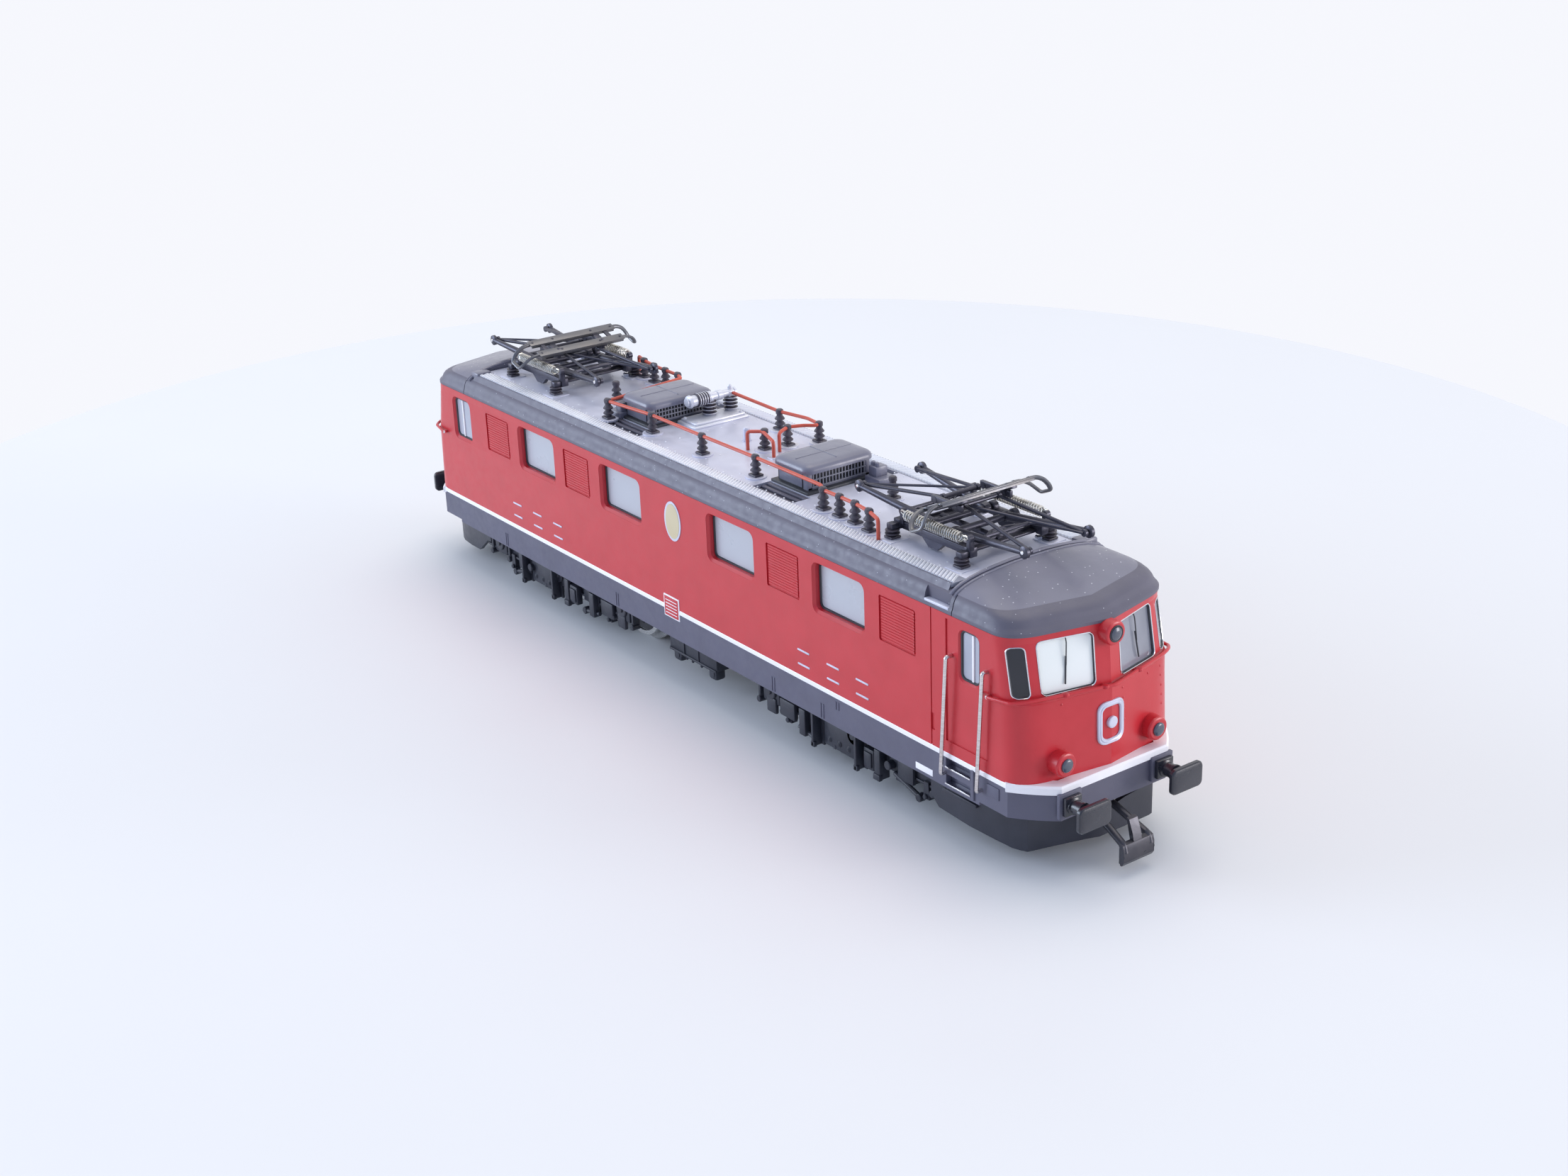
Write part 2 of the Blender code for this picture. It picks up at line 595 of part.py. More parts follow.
def build_pantograph_head(name, centre, angle, tilt, lift):
    """Two contact strips on brackets, with a bowed horn at each end, tipped about their middle."""
    _, knee_z = arm_tip(1, angle)
    top = 2 * knee_z - ARM_PIVOT_Z
    middle_x, middle_z = centre + HEAD_FORWARD, top + lift
    pieces = []
    for x in (-HEAD_HALF_GAUGE, HEAD_HALF_GAUGE):
        pieces.append(block((middle_x + x - 0.9, -10.2, middle_z), (middle_x + x + 0.9, 10.2, middle_z + 0.6)))
    for y in (-1, 1):
        pieces.append(block((middle_x - 2.8, y * 5.3 - 0.7, middle_z - 0.5),
                            (middle_x + 2.8, y * 5.3 + 0.7, middle_z + 0.2)))
        bow = [(2.0, 9.6, 0.3), (2.0, 11.2, 0.2), (1.9, 12.6, -0.5), (1.7, 13.5, -1.6), (1.3, 14.0, -2.5),
               (-1.3, 14.0, -2.5), (-1.7, 13.5, -1.6), (-1.9, 12.6, -0.5), (-2.0, 11.2, 0.2), (-2.0, 9.6, 0.3)]
        pieces.append(wire([(middle_x + x, y * across, middle_z + z) for x, across, z in bow], 0.42, 0))
    head = union(pieces)
    middle = Vector((middle_x, 0, middle_z)) * MM
    head.data.transform(Matrix.Translation(middle) @ Matrix.Rotation(math.radians(tilt), 4, "Y")
                        @ Matrix.Translation(-middle))
    posts = [block((centre - 3.2, y * 5.3 - 0.4, top - 0.5), (centre + 4.0, y * 5.3 + 0.4, middle_z))
             for y in (-1, 1)]
    return finish(union([head] + posts), name, STEEL, (centre + ARM_PIVOT_X, 0, top))


def build_pantograph_spring(name, centre, side):
    """A slightly bowed coil spring beside the base frame."""
    start, end = centre + SPRING_LEVERS[side][0] + 1.1, centre + SPRING_LEVERS[side][1] - 0.3
    turns, per_turn = 7, 5
    points = []
    for i in range(turns * per_turn + 1):
        t = i / (turns * per_turn)
        swing = 2 * math.pi * turns * t
        x = start + t * (end - start)
        bow = 0.5 * math.sin(math.pi * t)
        points.append((x, side * 8.9 + 0.75 * math.cos(swing), 49.7 + bow + 0.75 * math.sin(swing)))
    return finish(wire(points, 0.22, 0), name, SPRING)


def build_pantographs():
    for name, centre, degrees, tilt, lift in (
            ("front", FRONT_PANTOGRAPH_X, FRONT_ARM_ANGLE, FRONT_HEAD_TILT, FRONT_HEAD_LIFT),
            ("rear", REAR_PANTOGRAPH_X, REAR_ARM_ANGLE, REAR_HEAD_TILT, REAR_HEAD_LIFT)):
        angle = math.radians(degrees)
        build_pantograph_base(f"pantograph_{name}_base", centre)
        for arm, side in (("a", 1), ("b", -1)):
            build_lower_arm(f"pantograph_{name}_lower_arm_{arm}", centre, side, angle)
            build_upper_arm(f"pantograph_{name}_upper_arm_{arm}", centre, side, angle)
        build_pantograph_head(f"pantograph_{name}_head", centre, angle, tilt, lift)
        build_pantograph_spring(f"pantograph_{name}_spring_left", centre, 1)
        build_pantograph_spring(f"pantograph_{name}_spring_right", centre, -1)


# ---------------------------------------------------------------- handrails and buffers

def build_handrails():
    rail_y = -(HALF_WIDTH + 1.1)
    face_y = -(HALF_WIDTH + GAP)
    for name, foot_x, head_x, low, high in (("outer", 86.8, 88.2, 13.0, 34.3), ("inner", 78.0, 79.5, 12.8, 34.1)):
        points = [(head_x, face_y, high), (head_x, rail_y + 0.3, high), (head_x, rail_y, high - 0.35),
                  (foot_x, rail_y, low + 0.35), (foot_x, rail_y + 0.3, low), (foot_x, face_y, low)]
        front = finish(wire(points, 0.38), f"door_handrail_front_{name}", BRIGHT)
        half_turn(front, f"door_handrail_rear_{name}")


def build_nose_rails():
    """The red handrail that runs round a cab's nose under the windows."""
    z = 30.3
    outline = [(x, y) for x, y, _ in belt(z, -0.95)][:2 * POLY_STEPS + 3]
    points = [(88.9, -(HALF_WIDTH + GAP), z), (88.9, -(HALF_WIDTH + 0.95), z)]
    points += [(x, y, z) for x, y in outline]
    points += [(88.9, HALF_WIDTH + 0.95, z), (88.9, HALF_WIDTH + GAP, z)]
    front = finish(wire(points, 0.35), "nose_handrail_front", RED)
    half_turn(front, "nose_handrail_rear")


def build_buffers():
    face = LENGTH_OVER_BUFFERS / 2
    for side, label in ((1, "left"), (-1, "right")):
        y = side * BUFFER_SPREAD
        low = BEAM_FRONT + GAP
        plate = block((low, y - 2.2, BUFFER_HEIGHT - 2.1), (low + 0.7, y + 2.2, BUFFER_HEIGHT + 2.1))
        barrel = rod((low + 0.4, y, BUFFER_HEIGHT), (low + 3.4, y, BUFFER_HEIGHT), 1.25, 12)
        plunger = rod((low + 3.0, y, BUFFER_HEIGHT), (face - 0.8, y, BUFFER_HEIGHT), 0.85, 12)
        head = block((face - 1.1, y - 3.4, BUFFER_HEIGHT - 2.2), (face, y + 3.4, BUFFER_HEIGHT + 2.2),
                     "x", 0.7)
        buffer = finish(union([plate, barrel, plunger, head]), f"buffer_front_{label}", BLACK)
        half_turn(buffer, "buffer_rear_right" if side > 0 else "buffer_rear_left")


# ---------------------------------------------------------------- chassis and drive

def build_chassis():
    rails = block((-86, -15.2, 18.0), (86, 15.2, 20.0))
    bed = block((-14.6, -12.5, 10.9), (14.6, 12.5, 20.0))
    slot = block((-58, -6.8, 17), (58, 6.8, 21))
    bay = block((-16, -8.4, 13.2), (16, 8.4, 21))
    posts = [rod((x, y, 19.0), (x, y, 27.85), 1.0) for x in (-26, 26) for y in (-8, 8)]
    chassis = cut(union([rails, bed] + posts), [slot, bay])
    finish(chassis, "chassis_frame", DIECAST)


def build_motor():
    can = block((-12.4, -7.6, 13.5), (12.4, 7.6, 24.5), "x", 2.4, 2)
    bore = rod((-15, 0, SHAFT_HEIGHT), (15, 0, SHAFT_HEIGHT), 4.4, 12)
    finish(cut(can, [bore]), "motor_housing", DIECAST)
    flywheel, core, shaft = 5.2, 3.9, 0.75
    half = [(0.0, 18.0), (shaft, 18.0), (shaft, 16.6), (flywheel, 16.6), (flywheel, 12.9), (shaft, 12.9),
            (shaft, 9.5), (core, 9.5)]
    profile = half + [(radius, -height) for radius, height in reversed(half)]
    armature = turned(profile, (0, 0, SHAFT_HEIGHT), "X", 12)
    finish(armature, "motor_armature", STEEL, (0, 0, SHAFT_HEIGHT))
    finish(block((-30, -9, 28.0), (30, 9, 29.0)), "circuit_board", BOARD)


def build_drive_shafts():
    reach = (18.3, 43.4)
    half = (reach[1] - reach[0]) / 2
    end = [(0.0, half), (1.5, half), (1.5, half - 2.6), (0.7, half - 3.0)]
    profile = end + [(radius, -height) for radius, height in reversed(end)]
    middle = (sum(reach) / 2, 0, SHAFT_HEIGHT)
    front = finish(turned(profile, middle, "X", 8), "cardan_shaft_front", STEEL, middle)
    half_turn(front, "cardan_shaft_rear")
    ridge = []
    for step in range(3):
        height = 2.6 - 2.6 * step
        ridge += [(2.1, height + 0.45), (2.1, height - 0.45), (1.5, height - 0.7)]
    worm = [(0.0, 6.2), (0.7, 6.2), (0.7, 4.9)] + ridge + [(0.7, -4.9), (0.7, -6.2), (0.0, -6.2)]
    middle = (PIVOT_X, 0, SHAFT_HEIGHT)
    front = finish(turned(worm, middle, "X", 8), "worm_front", SPRING, middle)
    half_turn(front, "worm_rear")


def build_underfloor_box():
    """Battery and air gear: a box under each side of the floor, joined by a tray."""
    tray = block((-8.0, -12.6, 9.6), (8.0, 12.6, 10.7))
    sides = []
    for end in (1, -1):
        x = sorted((end * -9.0, end * 7.0))
        y = sorted((end * -10.6, end * -13.6))
        sides.append(block((x[0], y[0], 4.8), (x[1], y[1], 10.4)))
        for foot in (-8.4, 3.6):
            span = sorted((end * foot, end * (foot + 2.6)))
            depth = sorted((end * -11.0, end * -13.3))
            sides.append(block((span[0], depth[0], 2.6), (span[1], depth[1], 5.2)))
    finish(union([tray] + sides), "underfloor_box", BLACK)


# ---------------------------------------------------------------- bogies

def build_wheelsets():
    half = [(0.0, 11.6), (0.75, 11.6), (0.75, 9.8), (TREAD_RADIUS, 9.8), (TREAD_RADIUS, 7.9),
            (FLANGE_RADIUS, 7.5), (FLANGE_RADIUS, 7.0), (1.0, 7.0)]
    true = math.cos(math.pi / WHEEL_SIDES)
    half = [(radius / true if radius > 2 else radius, height) for radius, height in half]
    profile = half + [(radius, -height) for radius, height in reversed(half)]
    first = None
    for bogie, pivot in (("front", PIVOT_X), ("rear", -PIVOT_X)):
        for number in (1, 2, 3):
            name = f"wheelset_{bogie}_{number}"
            x = pivot + (2 - number) * AXLE_PITCH
            if first is None:
                centre = (x, 0, AXLE_HEIGHT)
                first = finish(turned(profile, centre, "Y", WHEEL_SIDES), name, BRIGHT, centre)
            else:
                copy = bpy.data.objects.new(name, first.data)
                PARTS.objects.link(copy)
                copy.location = Vector((x, 0, AXLE_HEIGHT)) * MM


def build_gear_block():
    """The metal block that carries the axles and the worm, between the wheels of a bogie."""
    x = PIVOT_X
    body = block((x - 30, -6.5, 4.4), (x + 30, 6.5, 15.4))
    ears = [block((x + e - 2, -11, 14.0), (x + e + 2, 11, 17.6)) for e in (-12.35, 12.35)]
    holes = []
    for axle in (-AXLE_PITCH, 0, AXLE_PITCH):
        holes.append(block((x + axle - 1.3, -8, AXLE_HEIGHT - 1.3), (x + axle + 1.3, 8, AXLE_HEIGHT + 1.3)))
    trough = block((x - 7.5, -2.6, 13.0), (x + 7.5, 2.6, 18))
    block_front = finish(cut(union([body] + ears), holes + [trough]), "gear_block_front", DIECAST,
                         (x, 0, 10))
    half_turn(block_front, "gear_block_rear")
    cover = finish(block((x - 29, -5.4, 2.1), (x + 29, 5.4, 3.1), "z", 1.0), "bottom_cover_front", BLACK,
                   (x, 0, 10))
    half_turn(cover, "bottom_cover_rear")


def apron_pieces(x):
    """The rail guard under a cab: a blunt V across the front and a wing back along each side."""
    walls = []
    for side in (1, -1):
        tip, corner, back = (x + 46.2, 0.0), (x + 42.4, side * 12.2), (x + 29.0, side * 13.7)
        for start, end, low, high in ((tip, corner, 2.6, 7.9), (corner, back, 3.6, 9.6)):
            along = Vector((end[0] - start[0], end[1] - start[1], 0))
            inward = Vector((-along.y, along.x, 0)).normalized() * 0.9
            if inward.x > 0 or (low > 3 and inward.y * side > 0):
                inward = -inward
            rise = 1.6 if low > 3 else 0.0
            foot = [Vector((*start, low - (1.0 if low > 3 else 0.0))), Vector((*end, low + rise))]
            head = [Vector((*start, high)), Vector((*end, high))]
            outer = [foot[0], foot[1], head[1], head[0]]
            inner = [point + inward for point in outer]
            walls.append(loft([outer, inner]))
    return walls


def build_bogie_frame():
    """The black moulding of a bogie: side frames, cross arms, coupler post and rail guard."""
    x = PIVOT_X
    pieces = [block((x + e - 1.8, -13.4, 3.3), (x + e + 1.8, 13.4, 4.2)) for e in (-12.35, 12.35)]
    pieces.append(block((x + 34.6, -13.2, 6.9), (x + 38.6, 13.2, 7.9)))
    pieces.append(rod((x + COUPLER_PIVOT, 0, 7.4), (x + COUPLER_PIVOT, 0, 10.2), 0.9, 10))
    for side in (1, -1):
        def slab(x_low, x_high, y_low, y_high, z_low, z_high):
            y = sorted((side * y_low, side * y_high))
            return block((x + x_low, y[0], z_low), (x + x_high, y[1], z_high))
        pieces.append(slab(-27.0, 31.0, 12.5, 13.9, 5.6, 9.0))
        for arm in (-12.35, 12.35):
            pieces.append(slab(arm - 1.8, arm + 1.8, 12.2, 13.5, 3.3, 6.2))
        for axle in (-AXLE_PITCH, 0.0, AXLE_PITCH):
            pieces.append(slab(axle - 2.4, axle + 2.4, 12.3, 14.4, 5.2, 9.7))
        for bracket in (-11.6, 0.7):
            pieces.append(slab(bracket - 0.35, bracket + 0.35, 13.6, 15.8, 2.8, 9.7))
            pieces.append(slab(bracket - 1.1, bracket + 1.1, 13.6, 14.3, 2.8, 9.4))
        pieces.append(slab(-9.4, -1.6, 13.6, 14.7, 3.2, 8.8))
        pieces.append(slab(2.6, 6.2, 13.6, 15.0, 3.4, 7.2))
        pieces.append(slab(6.6, 8.0, 12.9, 15.2, 2.8, 8.2))
        pieces.append(slab(12.0, 18.0, 13.6, 14.4, 4.2, 8.2))
        pieces.append(slab(-21.0, -14.0, 13.6, 14.6, 4.0, 7.6))
        for shoe in (19.6, 26.8, -19.4):
            pieces.append(slab(shoe - 0.8, shoe + 0.8, 12.7, 14.2, 3.2, 6.4))
        pieces.append(rod((x + 10.4, side * 13.5, 6.6), (x + 10.4, side * 15.2, 6.6), 0.8, 8))
    pieces += apron_pieces(x)
    frame = finish(union(pieces), "bogie_frame_front", BLACK, (x, 0, 10))
    half_turn(frame, "bogie_frame_rear")


def build_couplers():
    """A loop-and-hook coupler on the bogie's post."""
    x = PIVOT_X + COUPLER_PIVOT
    shank = block((x - 2.0, -2.2, 8.2), (x + 9.6, 2.2, 9.2), "z", 0.9)
    hole = rod((x, 0, 7), (x, 0, 11), 1.2, 12)
    face = 104.6
    arms = [rod((x + 9.0, side * 1.8, 8.7), (face, side * 2.6, 5.3), 0.5, 6) for side in (1, -1)]
    plate = block((face - 0.4, -3.4, 1.9), (face + 0.6, 3.4, 5.8), "x", 0.5)
    hook = rod((face + 0.1, 0, 5.2), (face - 0.5, 0, 9.4), 1.0, 6, 0.45)
    link = rod((x + 9.2, -2.4, 8.7), (x + 9.2, 2.4, 8.7), 0.5, 6)
    coupler = finish(union([cut(shank, [hole]), link] + arms + [plate, hook]), "coupler_front", STEEL,
                     (x, 0, 8.7))
    half_turn(coupler, "coupler_rear")


# ---------------------------------------------------------------- assembly

build_body_shell()
build_side_glazing()
build_cab_glazing()
build_roof_shell()
build_roof_panel()
build_roof_line()
build_main_breaker()
build_intake_hoods()
build_pantographs()
build_handrails()
build_nose_rails()
build_buffers()
build_chassis()
build_motor()
build_drive_shafts()
build_underfloor_box()
build_wheelsets()
build_gear_block()
build_bogie_frame()
build_couplers()
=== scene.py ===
import math

import bmesh
import bpy
from mathutils import Matrix, Vector


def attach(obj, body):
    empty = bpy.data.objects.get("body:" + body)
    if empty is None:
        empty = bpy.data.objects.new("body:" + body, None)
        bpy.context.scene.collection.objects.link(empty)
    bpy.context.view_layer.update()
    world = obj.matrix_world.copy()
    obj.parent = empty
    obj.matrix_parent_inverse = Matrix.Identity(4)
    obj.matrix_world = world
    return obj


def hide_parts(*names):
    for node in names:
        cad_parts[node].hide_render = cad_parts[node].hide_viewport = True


# The finished look of a model electric locomotive. Sizes here are in millimetres and become metres
# when a piece is made. +X is forward, and the locomotive repeats itself when turned half round.

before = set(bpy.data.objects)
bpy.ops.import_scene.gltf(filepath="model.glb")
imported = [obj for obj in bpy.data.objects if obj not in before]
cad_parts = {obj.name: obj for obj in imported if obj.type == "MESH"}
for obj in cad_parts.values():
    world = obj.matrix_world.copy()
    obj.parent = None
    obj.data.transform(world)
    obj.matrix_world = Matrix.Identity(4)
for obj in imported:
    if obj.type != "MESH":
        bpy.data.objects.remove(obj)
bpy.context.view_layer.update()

MM = 0.001
HALF_TURN = Matrix.Rotation(math.pi, 4, "Z")
ENDS = ((1, "front"), (-1, "rear"))
HALF_WIDTH = 17.05
SKIRT_BOTTOM = 10.1
BEAM_BOTTOM = 10.7
BEAM_FRONT = 99.35
BEAM_ROUNDNESS = 0.15
DECK = 16.6
PANEL_TOP = 45.2
DOME_BACK = 78.4
PIVOT_X = 50.0
PANTOGRAPHS = (  # name, centre x, angle of the lower arms, tilt and lift of the contact head
    ("front", 64.6, 6.5, -24.0, 0.6),
    ("rear", -62.2, 4.6, 20.0, 1.5))
AXLE_PITCH = 24.7
HALF_PITCH = AXLE_PITCH / 2
AXLE_HEIGHT = 8.45


# ================================================================ materials

FINE_SCALE = 900     # of dust specks and of streaks in drawn metal


def node_material(name, roughness, metallic=0.0):
    material = bpy.data.materials.new(name)
    material.use_nodes = True
    shader = material.node_tree.nodes["Principled BSDF"]
    shader.inputs["Roughness"].default_value = roughness
    shader.inputs["Metallic"].default_value = metallic
    return material, material.node_tree, shader


def noise(tree, coordinates, scale, detail=3.0):
    texture = tree.nodes.new("ShaderNodeTexNoise")
    texture.inputs["Scale"].default_value = scale
    texture.inputs["Detail"].default_value = detail
    tree.links.new(coordinates.outputs["Object"], texture.inputs["Vector"])
    return texture.outputs["Fac"]


def spread(tree, value, low, high, start=0.3, stop=0.7):
    """Stretch a texture's middle range to run from low to high."""
    mapping = tree.nodes.new("ShaderNodeMapRange")
    mapping.inputs["From Min"].default_value = start
    mapping.inputs["From Max"].default_value = stop
    mapping.inputs["To Min"].default_value = low
    mapping.inputs["To Max"].default_value = high
    tree.links.new(value, mapping.inputs["Value"])
    return mapping.outputs["Result"]


def blend_colours(tree, factor, first, second):
    mix = tree.nodes.new("ShaderNodeMix")
    mix.data_type = "RGBA"
    tree.links.new(factor, mix.inputs["Factor"])
    for socket, colour in ((mix.inputs["A"], first), (mix.inputs["B"], second)):
        if isinstance(colour, tuple):
            socket.default_value = (*colour, 1.0)
        else:
            tree.links.new(colour, socket)
    return mix.outputs["Result"]


def surface(name, colour, other, roughness, metallic=0.0, mottle=180, grain=2500, bump=0.05,
            specks=0.0, speck_colour=(0.75, 0.75, 0.78), coat=0.0):
    """A finish with a slow change between two tints, uneven gloss, fine grain and stray dust."""
    material, tree, shader = node_material(name, roughness, metallic)
    coordinates = tree.nodes.new("ShaderNodeTexCoord")
    tint = blend_colours(tree, spread(tree, noise(tree, coordinates, mottle), 0.0, 1.0), colour, other)
    if specks:
        cells = tree.nodes.new("ShaderNodeTexVoronoi")
        cells.inputs["Scale"].default_value = FINE_SCALE
        tree.links.new(coordinates.outputs["Object"], cells.inputs["Vector"])
        dust = spread(tree, cells.outputs["Distance"], 1.0, 0.0, specks * 0.6, specks)
        tint = blend_colours(tree, dust, tint, speck_colour)
    tree.links.new(tint, shader.inputs["Base Color"])
    gloss = spread(tree, noise(tree, coordinates, mottle * 4), roughness * 0.85, min(1.0, roughness * 1.2))
    tree.links.new(gloss, shader.inputs["Roughness"])
    if bump:
        relief = tree.nodes.new("ShaderNodeBump")
        relief.inputs["Strength"].default_value = bump
        relief.inputs["Distance"].default_value = 0.0001
        tree.links.new(noise(tree, coordinates, grain, 2.0), relief.inputs["Height"])
        tree.links.new(relief.outputs["Normal"], shader.inputs["Normal"])
    if coat:
        shader.inputs["Coat Weight"].default_value = coat
        shader.inputs["Coat Roughness"].default_value = 0.25
    return material


def brushed(name, colour, other, roughness, along=(1, 1, 12)):
    """Drawn or turned metal, with fine streaks."""
    material, tree, shader = node_material(name, roughness, 1.0)
    coordinates = tree.nodes.new("ShaderNodeTexCoord")
    stretch = tree.nodes.new("ShaderNodeMapping")
    stretch.inputs["Scale"].default_value = along
    streaks = tree.nodes.new("ShaderNodeTexNoise")
    streaks.inputs["Scale"].default_value = FINE_SCALE
    tree.links.new(coordinates.outputs["Object"], stretch.inputs["Vector"])
    tree.links.new(stretch.outputs["Vector"], streaks.inputs["Vector"])
    tree.links.new(blend_colours(tree, spread(tree, streaks.outputs["Fac"], 0, 1), colour, other),
                   shader.inputs["Base Color"])
    tree.links.new(spread(tree, streaks.outputs["Fac"], roughness * 0.7, roughness * 1.3),
                   shader.inputs["Roughness"])
    return material


ROOF_DUST = (0.6, 0.6, 0.66)
RED = surface("red_enamel", (0.53, 0.018, 0.027), (0.58, 0.024, 0.035), 0.33, bump=0.08, coat=0.15)
SKIRT = surface("skirt_grey", (0.098, 0.096, 0.138), (0.114, 0.112, 0.160), 0.5, bump=0.12)
# The roof is one grey: the cove finish is a darker copy of it as painted shade, and the dome finish a lighter
# copy as painted light. The specks are dust.
ROOF_GREY_PAINTED_SHADE = surface("roof_grey", (0.106, 0.101, 0.136), (0.122, 0.116, 0.155), 0.45, bump=0.10, specks=0.08,
                    speck_colour=ROOF_DUST)
DOME_GREY_PAINTED_LIGHT = surface("dome_grey_painted_light", (0.150, 0.148, 0.200), (0.172, 0.170, 0.228), 0.40, bump=0.10, specks=0.12,
                    speck_colour=ROOF_DUST, coat=0.45)
SILVER = surface("silver_paint", (0.57, 0.58, 0.69), (0.67, 0.68, 0.80), 0.42, metallic=0.3, bump=0.10,
                 specks=0.05, speck_colour=(0.95, 0.95, 0.97), coat=0.4)
WHITE = surface("white_line", (0.95, 0.93, 0.95), (0.90, 0.88, 0.90), 0.35, bump=0.06)
CHROME = brushed("chrome_bright", (0.86, 0.86, 0.88), (0.72, 0.72, 0.75), 0.16)
NICKEL = brushed("spring_nickel", (0.76, 0.75, 0.71), (0.56, 0.54, 0.50), 0.25)
RAIL_STEEL = brushed("rail_steel", (0.80, 0.78, 0.78), (0.55, 0.50, 0.49), 0.22)
TYRE = brushed("tyre_steel", (0.62, 0.61, 0.60), (0.46, 0.45, 0.44), 0.3)
ARM = surface("blackened_steel", (0.050, 0.050, 0.072), (0.088, 0.085, 0.108), 0.34, metallic=0.6, bump=0.15)
HEAD = surface("head_steel", (0.14, 0.145, 0.165), (0.20, 0.19, 0.19), 0.36, metallic=0.8, bump=0.12)
INSULATOR = surface("insulator_brown", (0.048, 0.041, 0.056), (0.078, 0.067, 0.088), 0.42, bump=0.12)
BLACK = surface("bogie_black", (0.018, 0.020, 0.030), (0.032, 0.034, 0.048), 0.42, bump=0.18)
APRON = surface("guard_black", (0.020, 0.022, 0.034), (0.034, 0.036, 0.052), 0.34, bump=0.10)
BUFFER = surface("buffer_black", (0.016, 0.017, 0.027), (0.028, 0.029, 0.040), 0.24, bump=0.05, coat=0.3)
COUPLER = surface("coupler_steel", (0.045, 0.045, 0.058), (0.085, 0.083, 0.095), 0.32, metallic=0.6,
                  bump=0.12)
WIRE = surface("line_orange", (0.52, 0.070, 0.040), (0.60, 0.10, 0.060), 0.4, bump=0.05)
FROST = surface("frosted_glass", (0.47, 0.49, 0.53), (0.49, 0.51, 0.55), 0.3, mottle=40, bump=0.03, coat=0.3)
# The two windscreen finishes stand for one glass: one pane of each pair is near-white and the other dark
# grey, each with a blotchy mottle, as painted reflection.
PANE_PAINTED_REFLECTION_BRIGHT = surface("windscreen_painted_reflection_bright", (0.84, 0.88, 0.83), (0.97, 0.98, 0.95), 0.12, mottle=38, bump=0.0,
                     coat=0.6)
PANE_PAINTED_REFLECTION_DARK = surface("windscreen_painted_reflection_dark", (0.13, 0.14, 0.18), (0.36, 0.37, 0.42), 0.1, mottle=60, bump=0.0,
                    coat=0.8)
PANE_DOOR = surface("door_glass", (0.36, 0.38, 0.45), (0.44, 0.46, 0.53), 0.15, mottle=70, bump=0.0,
                    coat=0.8)
PANE_BLACK = surface("corner_pane", (0.006, 0.006, 0.010), (0.014, 0.013, 0.020), 0.12, bump=0.0, coat=0.5)
GASKET = surface("gasket_rubber", (0.028, 0.030, 0.038), (0.045, 0.047, 0.055), 0.45, bump=0.05)
LENS = surface("lamp_lens", (0.055, 0.065, 0.095), (0.08, 0.09, 0.12), 0.22, bump=0.0, coat=0.6)
PLATE = surface("pale_plate", (0.60, 0.50, 0.30), (0.66, 0.57, 0.38), 0.4, mottle=120, bump=0.05)
# The walkway is one silver: its teeth are near-white as painted highlight on their crests, and the strip
# under them dark grey as painted shade.
TEETH_PAINTED_HIGHLIGHT = surface("walkway_silver_painted_highlight", (0.88, 0.89, 0.95), (0.94, 0.95, 0.98), 0.38, metallic=0.2, bump=0.08)
VALLEY = surface("walkway_shade", (0.30, 0.31, 0.38), (0.36, 0.37, 0.44), 0.5, bump=0.08)
BRIGHT_SILVER = surface("breaker_silver", (0.62, 0.63, 0.70), (0.74, 0.75, 0.81), 0.4, metallic=0.35,
                        bump=0.08)
HOOD = surface("hood_grey", (0.140, 0.140, 0.192), (0.165, 0.166, 0.225), 0.42, bump=0.2, coat=0.6)
# The grille bars are the hood's grey made lighter, because they sit in the lid's shadow: painted light.
GRILLE_PAINTED_LIGHT = surface("grille_grey_painted_light", (0.20, 0.20, 0.24), (0.25, 0.25, 0.29), 0.45, bump=0.15)
WHEEL_DARK = surface("wheel_centre", (0.020, 0.020, 0.026), (0.035, 0.035, 0.042), 0.45, bump=0.1)
DIECAST = surface("die_casting", (0.33, 0.33, 0.34), (0.42, 0.42, 0.43), 0.5, metallic=0.8, bump=0.3)
MOTOR = brushed("motor_steel", (0.40, 0.40, 0.42), (0.28, 0.28, 0.30), 0.35, (12, 1, 1))
BRASS = brushed("worm_brass", (0.66, 0.50, 0.24), (0.50, 0.38, 0.18), 0.3, (1, 12, 1))
BOARD = surface("circuit_green", (0.02, 0.13, 0.05), (0.03, 0.17, 0.07), 0.35, bump=0.08)


# ================================================================ shape tools

def circle(count):
    """Points round the unit circle, as (cosine, sine)."""
    angles = [2 * math.pi * i / count for i in range(count)]
    return [(math.cos(angle), math.sin(angle)) for angle in angles]


